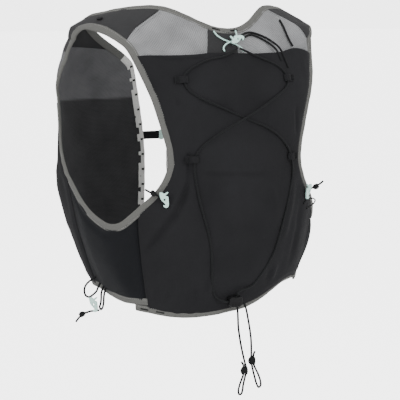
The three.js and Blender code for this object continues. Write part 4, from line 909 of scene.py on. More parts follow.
def ribbed_knit(name, colour, rib, depth, lighter):
    """Stretch knit with fine ribs, flecked with lighter yarn."""
    finish = Finish(name, colour, 0.88)
    add_sheen(finish, 0.05, 0.4)
    place = finish.cloth_place((1, 1, 1))
    ribs = stripes(finish, place, "X", rib)
    courses = stripes(finish, place, "Y", rib * 0.72)
    loops = finish.math("MULTIPLY", ribs, courses)
    flecks = finish.noise(finish.cloth_place((1400, 900, 1)), 1.0, 2.0)
    tone = finish.math("ADD", finish.math("MULTIPLY", loops, 0.45),
                       finish.math("MULTIPLY", flecks, 0.75))
    finish.colour(finish.ramp(tone, [(0.2, shade(colour, 0.78)), (0.55, colour),
                                     (0.85, shade(colour, lighter))]))
    finish.bump(loops, depth)
    return finish.material


def woven_band(name, colour, rib):
    """Flat webbing with ribs across it."""
    finish = Finish(name, colour, 0.75)
    add_sheen(finish, 0.03, 0.4)
    place = finish.cloth_place((1, 1, 1))
    ribs = stripes(finish, place, "Y", rib)
    yarns = stripes(finish, place, "X", rib * 0.6)
    weave = finish.math("ADD", finish.math("MULTIPLY", ribs, 0.7),
                        finish.math("MULTIPLY", yarns, 0.3))
    finish.colour(finish.ramp(weave, [(0.15, shade(colour, 0.7)), (0.8, shade(colour, 1.35))]))
    finish.bump(weave, 0.00018)
    return finish.material


def braid(name, colour, pitch, fleck):
    """Braided elastic cord: strands that cross both ways around it, with small flecks."""
    finish = Finish(name, colour, 0.7)
    add_sheen(finish, 0.03, 0.4)
    place = finish.cloth_place((1, 1, 1))
    split = finish.node("ShaderNodeSeparateXYZ")
    finish.link(place, split.inputs["Vector"])
    waves = []
    for sign in (1, -1):
        slanted = finish.math("MULTIPLY_ADD", split.outputs["X"], float(sign))
        finish.link(split.outputs["Y"], slanted.node.inputs[2])
        turned = finish.math("MULTIPLY", slanted, 2 * math.pi / pitch)
        half = finish.math("MULTIPLY", finish.math("SINE", turned, 0.0), 0.5)
        waves.append(finish.math("ADD", half, 0.5))
    strands = finish.math("MAXIMUM", *waves)
    finish.colour(finish.ramp(strands, [(0.35, shade(colour, 0.7)), (0.8, colour),
                                        (1.0, shade(colour, fleck))]))
    finish.bump(strands, 0.00014)
    return finish.material


def moulded(name, colour, roughness, grain, gloss=0.5):
    """Moulded plastic with a faint spark-eroded grain and slightly worn, glossier spots."""
    finish = Finish(name, colour, roughness, gloss)
    place = finish.object_place((1, 1, 1))
    spots = finish.noise(place, 220.0, 3.0)
    finish.rough(spots, roughness - 0.07, roughness + 0.1)
    broad = finish.noise(place, 60.0, 2.0)
    finish.colour(finish.ramp(broad, [(0.3, shade(colour, 0.94)), (0.7, shade(colour, 1.04))]))
    finish.bump(finish.noise(place, 2600.0, 2.0), grain, 0.5)
    return finish.material


def thread(name, colour):
    """Sewing thread with a fine twist."""
    finish = Finish(name, colour, 0.6)
    place = finish.object_place((1, 1, 1))
    twist = finish.noise(place, 3200.0, 1.0)
    finish.colour(finish.ramp(twist, [(0.3, shade(colour, 0.75)), (0.7, shade(colour, 1.15))]))
    finish.bump(twist, 0.00005, 0.6)
    return finish.material


def seamless(name, colour, glow):
    """Pale floor that looks evenly white and lights the vest no more than a lit floor does."""
    finish = Finish(name, colour, 0.9)
    broad = finish.noise(finish.object_place((1, 1, 1)), 1.5, 2.0)
    finish.colour(finish.ramp(broad, [(0.3, shade(colour, 0.995)), (0.7, colour)]))
    finish.set("Emission Color", (1, 1, 1, 1))
    seen = finish.node("ShaderNodeLightPath").outputs["Is Camera Ray"]
    finish.link(finish.math("MULTIPLY", seen, glow), finish.shader.inputs["Emission Strength"])
    return finish.material


FINISHES = {}


def finish(kind):
    """The material of that kind, made on first use."""
    if kind in FINISHES:
        return FINISHES[kind]
    looks = bpy.context.scene.vest_looks
    makers = {
        # painted light: the yoke's net is given a light grey that stands in for the white studio shining
        # through the dark, see-through net; only part of this grey is the net's own
        "mesh": lambda: open_mesh("backlit_net", looks.net, 0.0021, 0.0003, 0.62),
        "inner": lambda: open_mesh("dark_net", looks.inner_net, 0.0018, 0.00025, 0.45),
        "ripstop": lambda: fine_weave("black_ripstop", looks.ripstop, 0.0005, 0.0007, 0.02),
        # painted light: a lighter copy of the black pocket ripstop, painting in the extra light that
        # falls on the shoulders and the neck patch
        "shoulder": lambda: fine_weave("shoulder_lit_ripstop", looks.shoulder, 0.0005, 0.0007, 0.02),
        "side": lambda: ribbed_knit("side_stretch_knit", looks.side, 0.0012, 0.0002, 1.5),
        "binding": lambda: ribbed_knit("grey_edge_binding", looks.binding, 0.0009, 0.00022, 1.3),
        "webbing": lambda: woven_band("black_webbing", looks.webbing, 0.0011),
        "strip": lambda: woven_band("grey_loop_strip", looks.strip, 0.0009),
        "cord": lambda: braid("dark_bungee_cord", looks.cord, 0.0016, 1.5),
        "mint_cord": lambda: braid("mint_fine_cord", looks.mint, 0.0014, 1.1),
        "mint": lambda: moulded("mint_plastic", looks.mint, 0.42, 0.00003),
        "lock": lambda: moulded("black_plastic", looks.lock, 0.4, 0.00002, 0.14),
        "grey_thread": lambda: thread("grey_thread", looks.thread),
        "black_thread": lambda: thread("black_thread", looks.cord),
        "mint_thread": lambda: thread("mint_thread", looks.mint),
        "floor": lambda: seamless("seamless_white_floor", looks.floor, looks.floor_glow),
    }
    FINISHES[kind] = makers[kind]()
    return FINISHES[kind]


# Pieces that stand in place of the plain solids


def dress(obj, slot, *nodes):
    """A finished piece that rides on the vest and stands for plain solids."""
    if nodes:
        obj.name = nodes[0] + "_finished"
    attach(obj, "root")
    if nodes:
        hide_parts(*nodes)
    return obj


def cloth_panel(name, kind, slot, edges, wall, offset, wrinkle, turned):
    """A fine cloth wall over a patch of the torso."""
    turn, lift, u, v = coons(*edges)
    base = surface(turn, lift)
    out = outward(base)
    off = offset(turn, lift, u, v) + wrinkle(base, turn, lift, u, v)
    outer = base + out * (off + wall)[..., None]
    inner = base + out * off[..., None]
    obj = cloth_wall(name, outer, inner, finish(kind), turned)
    # painted shade: 1 on the front nets below the pocket's mouth, where the pocket lies behind them and
    # no light shines through; it also stands for the dark pocket seen through the holes
    shade_behind = obj.data.attributes.new("pocket_shade", "FLOAT", "POINT")
    pocket_shading = smooth((POCKET_LINE_LIFT - lift) / 0.006) * (kind == "inner")
    shade_behind.data.foreach_set("value", np.tile(pocket_shading.ravel(), 2))
    dress(obj, slot, name)
    return obj, outer


SIDES = (("left", np.array, 0.0), ("right", mirrored, RIGHT_HEM_RAISE))


class Edges:
    """The vest's edges and the runs inside them that the panels are cut to."""

    def __init__(self):
        self.armhole = trace(LEFT_ARMHOLE + LEFT_ARMHOLE[:1], 288)
        self.armhole_inside = inset(self.armhole, PANEL_TUCK, True)
        self.armhole_twice = joined(self.armhole_inside, self.armhole_inside)
        self.neck_front = trace(HALF_NECKLINE + LEFT_FRONT_EDGE[1:], 300)
        self.neck_front_inside = inset(self.neck_front, PANEL_TUCK)
        self.back_hem = trace(BACK_HEM, 240)
        self.back_hem_inside = inset(self.back_hem, PANEL_TUCK)
        back_seam = (SIDE_SEAM_TURN, -0.95)
        back_seam_right = (180 - SIDE_SEAM_TURN, -0.90)
        self.under_back = between(self.back_hem_inside, back_seam, back_seam_right, 144)

    def side_run(self, start, arm_rows, seam_rows, hem_end, place):
        arm = place(between(self.armhole_twice, start, SEAM_AT_ARM, arm_rows))
        return joined(arm, straight(arm[-1], hem_end, seam_rows))


def tucked(u, v):
    """How far a pocket's sewn edges sink towards the panel, to lie under the bindings."""
    beside = smooth(1 - np.minimum(u, 1 - u) * 24)
    below = smooth(1 - (1 - v) * 30)
    return (POCKET_SEAT - 0.55) * np.maximum(beside, below)


def plain(turn, lift, u, v):
    return np.zeros_like(turn)


def make_back_panel(edges):
    half = between(edges.neck_front_inside, (90, 0.01), YOKE_AT_NECK, 72)
    top = joined(half[::-1], mirrored(half))

    def rows(hem_end, place):
        below = edges.side_run(YOKE_AT_ARM, 88, 32, hem_end, place)
        return joined(straight(place(half[-1:])[0], below[0], 20), below)

    runs = (top, edges.under_back, rows(edges.under_back[0], np.array),
            rows(edges.under_back[-1], mirrored))

    def wrinkle(base, turn, lift, u, v):
        above = smooth((lift + 0.20) / 0.08)
        return above * (fold_rise(base, YOKE_CREASES, 0.3) + 0.45 * rumple(base, 26.0, 3.1))

    cloth_panel("back_panel", "mesh", "mesh", runs, PANEL_WALL, plain, wrinkle, False)


def pocket_edges(edges):
    left = edges.side_run(POCKET_MOUTH[0], 96, 56, edges.under_back[0], np.array)
    right = edges.side_run(POCKET_MOUTH[0], 96, 56, edges.under_back[-1], mirrored)
    top = trace([tuple(left[0])] + POCKET_MOUTH[1:-1] + [tuple(right[0])], 144)
    return top, edges.under_back, left, right


def pocket_detail(base, turn, lift, u, v):
    """Fine folds and crumples of the back pocket, flat along its sewn edges."""
    edge = smooth(np.minimum(u, 1 - u) * 16) * smooth((1 - v) * 12)
    creases = 1.8 * fold_rise(base, POCKET_CREASES, 0.25) * bpy.context.scene.vest_sizes.fold_depth
    crumple = 0.8 * rumple(base, 34.0, 5.3) + 0.22 * rumple(base, 13.0, 8.9, (1, 1, 0.6))
    low = smooth((v - 0.80) * 6)
    gathers = 0.45 * np.sin(turn * 1.9 + 2.5 * np.sin(turn * 0.31)) * low * smooth((1 - v) * 9)
    gathers = gathers * smooth((78 - turn) / 20)
    mouth = 0.35 * smooth(1 - v * 22)
    return (creases + crumple) * edge + gathers * smooth(np.minimum(u, 1 - u) * 9) + mouth


def make_back_pocket(edges):
    runs = pocket_edges(edges)
    _, outer = cloth_panel(
        "back_pocket", "ripstop", "ripstop", runs, POCKET_WALL,
        lambda turn, lift, u, v: pocket_inner(turn, lift) - tucked(u, v),
        pocket_detail, False)
    return outer


def make_neck_patch(edges):
    to_left = between(edges.neck_front_inside, (90, 0.01), (69, 0.02), 40)
    to_right = mirrored(between(edges.neck_front_inside, (90, 0.01), (85, 0.01), 12))
    upper = joined(to_left[::-1], to_right)
    lower = straight((67.5, -0.118), (91, -0.112), len(upper) - 1)
    runs = (upper, lower, straight(upper[0], lower[0], 48), straight(upper[-1], lower[-1], 48))
    # painted light: the neck patch takes the lighter, lit copy of the ripstop
    cloth_panel(
        "neck_patch", "shoulder", "webbing", runs, PATCH_WALL,
        lambda turn, lift, u, v: POCKET_SEAT - PATCH_SINK * smooth(1.5 - v * 6),
        lambda base, turn, lift, u, v: 0.12 * rumple(base, 12.0, 1.7), False)


def shoulder_wrinkle(base, turn, lift, u, v):
    return 0.5 * rumple(base, 30.0, 12.4) + 0.15 * rumple(base, 11.0, 2.2)


def front_swell(u, v):
    across = np.clip(np.minimum(u * 3.2, (1 - u) * 2.4), 0, 1)
    down = (0.15 + 0.85 * smooth((v - 0.36) / 0.24)) * smooth((1 - v) * 3)
    return POCKET_SEAT + LAYER_GAP + FRONT_POCKET_SWELL * smooth(across) * down


def front_pocket_detail(base, turn, lift, u, v):
    edge = smooth(np.minimum(u, 1 - u) * 12) * smooth((1 - v) * 12)
    vertical = 0.6 * np.sin(turn * 0.42 + 1.5 * np.sin(lift * 14)) * smooth((1 - v) * 2)
    return (0.9 * rumple(base, 36.0, 21.7, (1, 1, 0.6)) + 0.25 * rumple(base, 12.0, 4.4)
            + vertical) * edge


def inner_wrinkle(base, turn, lift, u, v):
    """Slanting drag lines of the front panel, strongest beside the strap's seat."""
    slant = np.sin((base[..., 2] + base[..., 0] * 0.9) / 7.5 + 1.2 * np.sin(base[..., 2] / 31))
    upper = smooth((lift + 0.34) / 0.1) * smooth(v * 6)
    return 0.35 * slant * upper + 0.4 * rumple(base, 28.0, 31.0)


def make_front(edges, side, place, raise_):
    hem = trace([(t, h + raise_) for t, h in SIDE_HEM], 180)
    hem_inside = inset(hem, PANEL_TUCK)
    wing_at_hem = (WING_SEAM_TURN, -0.905 + raise_)
    seam_at_hem = (SIDE_SEAM_TURN, -0.93 + raise_)
    edge_at_hem = (-74, -0.895 + raise_)
    turned = side == "right"

    neck = between(edges.neck_front_inside, YOKE_AT_NECK, FRONT_AT_NECK, 96)
    arm = between(edges.armhole_twice, FRONT_AT_ARM, YOKE_AT_ARM, 96)[::-1]
    runs = (neck, arm, straight(neck[0], arm[0], 40), straight(neck[-1], arm[-1], 40))
    # painted light: the shoulders take the lighter, lit copy of the ripstop
    cloth_panel(f"shoulder_panel_{side}", "shoulder", "ripstop", [place(r) for r in runs],
                PANEL_WALL, plain, shoulder_wrinkle, turned)

    front_hem = between(hem_inside, (-71, -0.9 + raise_), wing_at_hem, 64)
    medial = between(edges.neck_front_inside, FRONT_AT_NECK, edge_at_hem, 112)
    armhole = between(edges.armhole_twice, WING_AT_ARM, FRONT_AT_ARM, 80)[::-1]
    lateral = joined(armhole, straight(armhole[-1], front_hem[-1], 32))
    runs = (straight(medial[0], armhole[0], 64), front_hem, medial, lateral)
    cloth_panel(f"front_panel_{side}", "inner", "inner_mesh", [place(r) for r in runs],
                PANEL_WALL, plain, inner_wrinkle, turned)

    medial = between(edges.neck_front_inside, FRONT_MOUTH_MEDIAL, edge_at_hem, 88)
    armhole = between(edges.armhole_twice, WING_AT_ARM, FRONT_MOUTH_SIDE, 56)[::-1]
    lateral = joined(armhole, straight(armhole[-1], front_hem[-1], 32))
    hem_run = between(hem_inside, (-71, -0.9 + raise_), wing_at_hem, 80)
    runs = (straight(medial[0], armhole[0], 80), hem_run, medial, lateral)
    cloth_panel(f"front_pocket_{side}", "ripstop", "ripstop", [place(r) for r in runs],
                POCKET_WALL, lambda turn, lift, u, v: front_swell(u, v) - tucked(u, v),
                front_pocket_detail, turned)

    past_seam = SIDE_SEAM_TURN + SEAM_OVERLAP
    under_arm = between(edges.armhole_twice, (past_seam, -0.655), WING_AT_ARM, 96)[::-1]
    side_hem = between(hem_inside, wing_at_hem, (past_seam, seam_at_hem[1]), 96)
    runs = (under_arm, side_hem, straight(under_arm[0], side_hem[0], 50),
            straight(under_arm[-1], side_hem[-1], 50))
    cloth_panel(
        f"side_panel_{side}", "side", "side_stretch", [place(r) for r in runs], PANEL_WALL,
        lambda turn, lift, u, v: (SIDE_SWELL * smooth(np.minimum(u, 1 - u) * 3)
                                  * np.sin(math.pi * v) - 2.1 * smooth((u - 0.9) / 0.07)),
        lambda base, turn, lift, u, v: (
            0.5 * rumple(base, 30.0, 14.2) * smooth(np.minimum(u, 1 - u) * 8)
            - 1.6 * np.exp(-((v - 0.10) / 0.05) ** 2) * smooth(np.minimum(u, 1 - u) * 5)),
        turned)


# Bindings and sewn strips

def band(name, kind, places, section, closed, ripple):
    """Band of cloth along an edge. section holds (across, off) in millimetres."""
    points = surface(places[:, 0], places[:, 1])
    out = outward(points)
    side = unit(np.cross(out, run_directions(points, closed)))
    rings = []
    share = np.linspace(0, 1, len(places))
    for across, off in section:
        width, rise = ripple(share, across, off)
        turn, lift = chart_of(points + side * (np.broadcast_to(width, len(points)) * across)[:, None])
        base = surface(turn, lift)
        rings.append(base + outward(base) * (off + rise * np.ones(len(points)))[:, None])
    rings = np.stack(rings, 1)
    return loft(name, rings, finish(kind), closed)


def puckers(length, seed):
    """Small uneven swells along a sewn binding of the given length in millimetres."""
    def ripple(share, across, off):
        along = share * length
        wave = (np.sin(along / 2.9 + 1.3 * np.sin(along / 17 + seed))
                + 0.6 * np.sin(along / 5.3 + seed * 2.1))
        outer = 1.0 if off > 0.5 else 0.35
        return 1.0 + 0.012 * np.sin(along / 9.0 + seed), 0.10 * wave * outer
    return ripple


def binding(name, places, closed, seed, turned):
    """Folded tape bound over an edge. Returns the places of the edge that it follows."""
    if turned:
        places = mirrored(places)[::-1]
    length = run_length(surface(places[:, 0], places[:, 1]))[-1]
    dress(band(name, "binding", places, FOLD_SECTION, closed, puckers(length, seed)),
          "binding", name)
    return places


def sideways(places):
    """Points of an edge on the torso, and the direction along the cloth away from the edge."""
    points = surface(places[:, 0], places[:, 1])
    return points, unit(np.cross(outward(points), run_directions(points)))


def stitched(row, pitch):
    """Points, ways and ups of stitches at an even pitch along a row."""
    lengths = run_length(row)
    count = int(lengths[-1] / pitch)
    even = at_lengths(row, lengths, (np.arange(count) + 0.5) * pitch)
    return even, run_directions(even), outward(even)


def stitch_runs(places, across, off, pitch):
    """Stitches in a row beside an edge."""
    points, side = sideways(places)
    turn, lift = chart_of(points + side * across)
    return stitched(off_surface(turn, lift, off), pitch)


def cloth_points(rows):
    turn, lift, off = np.array(rows, float).T
    return off_surface(turn, lift, off)


def lace_points(rows):
    full = np.array([(*row, 0.0)[:3] for row in rows])
    over = pocket_outer(full[:, 0], full[:, 1]) + CORD_DIAMETER / 2 + LACE_GAP + full[:, 2]
    return off_surface(full[:, 0], full[:, 1], over)


def side_cord_points(rows):
    turn, lift, off = np.array(rows, float).T
    return off_surface(turn, lift, np.maximum(off, pocket_outer(turn, lift)
                                              + CORD_DIAMETER / 2 + LACE_GAP))


def free_points(rows):
    return np.array(rows, float) * (CHEST_HALF_WIDTH, BACK_DEPTH, VEST_HEIGHT)


class Seat:
    """A place with its own across, up and out directions."""

    def __init__(self, centre, out, up=None):
        self.centre = np.asarray(centre, float)
        self.out = unit(np.asarray(out, float))
        if up is None:
            self.across = unit(np.cross([0, 0, 1], self.out))
        else:
            self.across = unit(np.cross(np.asarray(up, float), self.out))
        self.up = np.cross(self.out, self.across)

    def point(self, across, up, out=0.0):
        return self.centre + self.across * across + self.up * up + self.out * out

    def points(self, local):
        local = np.asarray(local, float)
        axes = np.stack([self.across, self.up, self.out])
        return self.centre + local @ axes


def cloth_seat(turn, lift, off):
    base = surface(turn, lift)
    out = outward(base)
    return Seat(base + out * off, out)


def lock_seat():
    base = float(pocket_outer(np.array(LOCK_SEAT[0]), np.array(LOCK_SEAT[1])))
    return cloth_seat(*LOCK_SEAT, base + LOCK_STAND + LOCK_DEPTH / 2)


def rounded(outline, times=3):
    """A polygon with its corners cut again and again."""
    points = np.asarray(outline, float)
    for _ in range(times):
        after = np.roll(points, -1, axis=0)
        points = np.stack([points * 0.78 + after * 0.22, points * 0.22 + after * 0.78], 1)
        points = points.reshape(-1, 2)
    return points


def plate(name, outline, thickness, bevel, seat, material, holes=()):
    """Moulded plate with rounded edges, given by its outline in the seat's own plane."""
    curve = bpy.data.curves.new(name + "_outline", "CURVE")
    curve.dimensions = "2D"
    curve.fill_mode = "BOTH"
    curve.extrude = (thickness / 2 - bevel) * MM
    curve.bevel_depth = bevel * MM
    curve.bevel_resolution = 4
    curve.offset = -bevel * MM
    loops = [outline]
    angles = np.linspace(0, 2 * math.pi, 28, endpoint=False)
    for x, y, radius in holes:
        loops.append(np.column_stack([x + radius * np.cos(angles), y + radius * np.sin(angles)]))
    for points in loops:
        run = curve.splines.new("POLY")
        run.points.add(len(points) - 1)
        for point, (x, y) in zip(run.points, points):
            point.co = (x * MM, y * MM, 0, 1)
        run.use_cyclic_u = True
    holder = new_object(name + "_outline", curve)
    bpy.context.view_layer.update()
    graph = bpy.context.evaluated_depsgraph_get()
    mesh = bpy.data.meshes.new_from_object(holder.evaluated_get(graph))
    bpy.data.objects.remove(holder)
    mesh.name = name
    places = np.empty(len(mesh.vertices) * 3)
    mesh.vertices.foreach_get("co", places)
    moved = seat.points(places.reshape(-1, 3) / MM) * MM
    mesh.vertices.foreach_set("co", moved.ravel())
    mesh.materials.clear()
    mesh.materials.append(material)
    mesh.polygons.foreach_set("use_smooth", [True] * len(mesh.polygons))
    obj = new_object(name, mesh)
    weld(obj)
    sharpen(obj)
    return face_outwards(obj)


def sharpen(obj, angle=40.0):
    obj.data.set_sharp_from_angle(angle=math.radians(angle))


def join_meshes(name, pieces):
    """One mesh of several, all of them in place already."""
    work = bmesh.new()
    materials = []
    for piece in pieces:
        count = len(work.faces)
        work.from_mesh(piece.data)
        material = piece.data.materials[0]
        if material not in materials:
            materials.append(material)
        work.faces.ensure_lookup_table()
        for face in work.faces[count:]:
            face.material_index = materials.index(material)
    mesh = bpy.data.meshes.new(name)
    work.to_mesh(mesh)
    work.free()
    for material in materials:
        mesh.materials.append(material)
    for piece in pieces:
        bpy.data.objects.remove(piece)
    return new_object(name, mesh)


def hook(name, seat, turned, flip, node):
    c, s = math.cos(turned), math.sin(turned)

    def place(rows):
        rows = np.asarray(rows, float) * HOOK_LENGTH * (flip, 1)
        return rows @ np.array([[c, s], [-s, c]])

    outline = place(rounded(HOOK_OUTLINE, 2))
    hole = place([HOOK_HOLE[:2]])[0]
    if flip < 0:
        outline = outline[::-1]
    body = plate(name + "_body", outline, HOOK_THICKNESS, 0.7, seat, finish("mint"),
                 [(*hole, HOOK_HOLE[2])])
    parts = [body]
    spine = place([(-0.24, 0.40), (-0.13, 0.12), (0.0, -0.12), (0.17, -0.28), (0.20, -0.36)])
    for face in (1, -1):
        path = [seat.point(x, y, face * HOOK_THICKNESS * 0.42) for x, y in spine]
        rib, _ = cord_tube(f"{name}_rib", path, 1.3, finish("mint"), 0.6, 10)
        parts.append(rib)
    angles = np.linspace(0, 2 * math.pi, 25)
    ring = [seat.point(hole[0] + 1.75 * math.cos(a), hole[1] + 1.75 * math.sin(a),
                       HOOK_THICKNESS / 2) for a in angles]
    collar = loft(f"{name}_collar", tube_rings(np.array(ring), 0.55, 10), finish("mint"))
    parts.append(collar)
    return dress(join_meshes(name, parts), "mint_plastic", node)


def wrap(name, centre, along, length, reach, thick, material, turns=3.2):
    """Cord wound round itself as an overhand knot, with one strand slanting over the turns."""
    along = unit(np.asarray(along, float))
    side = unit(np.cross(along, [0.31, 0.92, 0.23]))
    up = np.cross(along, side)
    share = np.linspace(0, 1, int(26 * turns))
    angle = share * turns * 2 * math.pi
    down = (share - 0.5) * (length - thick)
    swell = reach * (0.80 + 0.20 * np.sin(math.pi * share))
    path = (centre + along * down[:, None] + side * (swell * np.cos(angle))[:, None]
            + up * (swell * np.sin(angle))[:, None])
    coil = loft(name + "_coil", tube_rings(path, thick / 2, 12), material)
    over = np.linspace(0, 1, 30)
    slant = 1.9 * over - 0.4
    lift = reach + thick * 0.62 * np.sin(math.pi * over)
    across = (centre + along * ((0.5 - over) * length * 0.86)[:, None]
              + side * (lift * np.cos(slant))[:, None] + up * (lift * np.sin(slant))[:, None])
    strand = loft(name + "_strand", tube_rings(across, thick / 2, 12), material)
    return join_meshes(name, [coil, strand])


def free_cord(name, points, diameter, material):
    obj, path = cord_tube(name, points, diameter, material)
    dress(obj, "cord", name)
    length = float(run_length(path)[-1]) * MM
    every = path[::3] if (len(path) - 1) % 3 == 0 else np.concatenate([path[::3], path[-1:]])
    [tuple(point * MM) for point in every]
    return obj


def tail_points(rows):
    start = lock_seat().point(TAIL_ACROSS, -LOCK_HEIGHT / 2 - CLEARANCE)
    return np.array([(start[0] - across, start[1], start[2] - down) for across, down in rows])


def make_tails(cord):
    for side, rows, knot in (("left", TAIL_LEFT, TAIL_LEFT_KNOT),
                             ("right", TAIL_RIGHT, TAIL_RIGHT_KNOT)):
        name = "tail_" + side
        knot_obj = wrap(name + "_knot", tail_points([knot])[0], (-0.06, 0, -1),
                        TAIL_KNOT_LENGTH, 2.6, cord * 1.05, finish("cord"), 3.7)
        dress(knot_obj, "cord", name + "_knot")
        free_cord(name, tail_points(rows), cord, finish("cord"))


def make_side_cords(cord):
    for side, rows in (("left", SIDE_CORD_LEFT), ("right", SIDE_CORD_RIGHT)):
        points = side_cord_points(rows)
        along = points[SIDE_KNOT_INDEX + 1] - points[SIDE_KNOT_INDEX - 1]
        name = "side_hook_knot_" + side
        knot_obj = wrap(name, points[SIDE_KNOT_INDEX], along, HOOK_KNOT_LENGTH * 0.92, 1.7,
                        cord * 0.95, finish("cord"), 2.9)
        dress(knot_obj, "cord", name)
        free_cord("side_hook_cord_" + side, points, cord, finish("cord"))
    free_cord("side_loop_right", side_cord_points(SIDE_LOOP_RIGHT), FINE_CORD_DIAMETER,
              finish("cord"))


def make_hem_cords(cord):
    facing = math.radians(HEM_HOOK_FACING)
    seat = Seat(free_points([HEM_HOOK])[0], (math.cos(facing), math.sin(facing), 0))
    hem_hook = hook("hem_hook_left", seat, 0, 1, "hem_hook_left")
    free_cord("hem_loop_left", free_points(HEM_LOOP), cord, finish("cord"))
    free_cord("hem_strands_left", free_points(HEM_STRANDS), cord, finish("cord"))
    tail = free_points(HEM_TAIL)
    knot_obj = wrap("hem_tail_knot_left", tail[HEM_KNOT_INDEX],
                    tail[HEM_KNOT_INDEX + 1] - tail[HEM_KNOT_INDEX - 1],
                    HOOK_KNOT_LENGTH * 0.92, 1.7, cord * 0.95, finish("cord"), 2.9)
    dress(knot_obj, "cord", "hem_tail_knot_left")
    free_cord("hem_tail_left", tail, cord, finish("cord"))


def make_lacing(cord):
    seat = lock_seat()
    one = np.concatenate([lace_points(LACE_ONE), [
        seat.point(LOCK_WIDTH * 0.24, LOCK_HEIGHT / 2 + 4),
        seat.point(LOCK_WIDTH * 0.2, LOCK_HEIGHT / 2 - 1.5)]])
    two = np.concatenate([lace_points(LACE_TWO), [
        seat.point(-LOCK_WIDTH / 2 - 4, LOCK_HEIGHT * 0.02),
        seat.point(-LOCK_WIDTH / 2 + 1.5, LOCK_HEIGHT * -0.04)]])
    for name, points in (("lace_one", one), ("lace_two", two)):
        obj, _ = cord_tube(name, points, cord, finish("cord"), 0.8)
        dress(obj, "cord", name)


def make_yoke_cords(cord):
    for name, rows in (("yoke_cord_upper", YOKE_CORD_UPPER), ("yoke_cord_lower", YOKE_CORD_LOWER),
                       ("shoulder_cord_right", SHOULDER_CORD)):
        obj, _ = cord_tube(name, cloth_points(rows), cord, finish("cord"))
        dress(obj, "cord", name)
    for name, rows in (("top_cord_long", TOP_CORD_LONG), ("top_cord_short", TOP_CORD_SHORT)):
        obj, _ = cord_tube(name, cloth_points(rows), TRIM_CORD_DIAMETER, finish("mint_cord"), 0.6)
        dress(obj, "mint_cord", name)


def make_lace_loops():
    rise = CORD_DIAMETER + LACE_GAP
    for name, turn, lift, outer_side in LACE_LOOPS:
        base = float(pocket_outer(np.array(turn), np.array(lift)))
        seat = cloth_seat(turn, lift, base)
        arch = spline([(a * outer_side, h * rise, 0) for a, h in LOOP_ARCH], 42)
        rings = []
        for a, low, _ in arch:
            low = max(low, 0) + LOOP_SEAT - 0.25
            half = LOOP_WIDTH / 2
            section = [(-half, low + 0.1), (-half + 0.25, low), (half - 0.25, low),
                       (half, low + 0.1), (half, low + 0.8), (half - 0.25, low + 0.95),
                       (0, low + 1.0), (-half + 0.25, low + 0.95), (-half, low + 0.8)]
            rings.append([seat.point(a, y, z) for y, z in section])
        obj = loft(name, np.array(rings), finish("webbing"))
        dress(obj, "webbing", name)


def make_lock():
    seat = lock_seat()
    outline = rounded(np.array(LOCK_OUTLINE) * (LOCK_WIDTH, LOCK_HEIGHT), 2)
    parts = [plate("lock_shell", outline, LOCK_DEPTH, 1.6, seat, finish("lock"))]
    for row in range(4):
        height = -LOCK_HEIGHT * (0.10 + 0.105 * row)
        half = LOCK_WIDTH * (0.34 if row < 2 else 0.28)
        for face in (1, -1):
            path = [seat.point(x, height, face * (LOCK_DEPTH / 2 - 0.1))
                    for x in np.linspace(-half, half, 6)]
            rib, _ = cord_tube("lock_rib", path, 0.9, finish("lock"), 0.8, 8)
            parts.append(rib)
    rim = [seat.point(LOCK_WIDTH * x, LOCK_HEIGHT * y, LOCK_DEPTH / 2 - 0.6)
           for x, y in ((-0.40, 0.44), (-0.22, 0.40), (0, 0.33), (0.22, 0.40), (0.40, 0.44))]
    lip, _ = cord_tube("lock_lip", rim, 1.5, finish("lock"), 0.5, 12)
    parts.append(lip)
    button = [(-0.19, 0.10), (0.19, 0.10), (0.19, 0.47), (-0.19, 0.47)]
    parts.append(plate("lock_button", rounded(np.array(button) * (LOCK_WIDTH, LOCK_HEIGHT), 2),
                       LOCK_DEPTH * 0.62, 1.0, seat, finish("lock")))
    dress(join_meshes("cord_lock", parts), "lock_plastic", "cord_lock")


def make_hooks():
    hook("top_hook", cloth_seat(*TOP_HOOK), math.pi / 2, 1, "top_hook")
    turn, lift, off = SIDE_HOOK
    hook("side_hook_left", cloth_seat(turn, lift, off), 0, 1, "side_hook_left")
    hook("side_hook_right", cloth_seat(180 - turn, lift, off), 0, -1, "side_hook_right")


def make_tab():
    tab = SHOULDER_TAB
    seat = cloth_seat(tab["turn"], tab["lift"], tab["off"])
    half, high = tab["width"] / 2, tab["height"] / 2
    outline = rounded([(-half, -high), (half, -high), (half, high), (-half, high)], 2)
    obj = plate("shoulder_tab_left", outline, tab["wall"], 0.5, seat, finish("webbing"))
    add_plate_uv(obj, seat)
    dress(obj, "webbing", "shoulder_tab_left")


def add_plate_uv(obj, seat):
    mesh = obj.data
    layer = mesh.uv_layers.new(name="cloth")
    places = np.empty(len(mesh.vertices) * 3)
    mesh.vertices.foreach_get("co", places)
    local = places.reshape(-1, 3) - seat.centre * MM
    uv = np.stack([local @ seat.across, local @ seat.up], -1)
    index = np.empty(len(mesh.loops), dtype=np.int64)
    mesh.loops.foreach_get("vertex_index", index)
    layer.data.foreach_set("uv", uv[index].ravel())


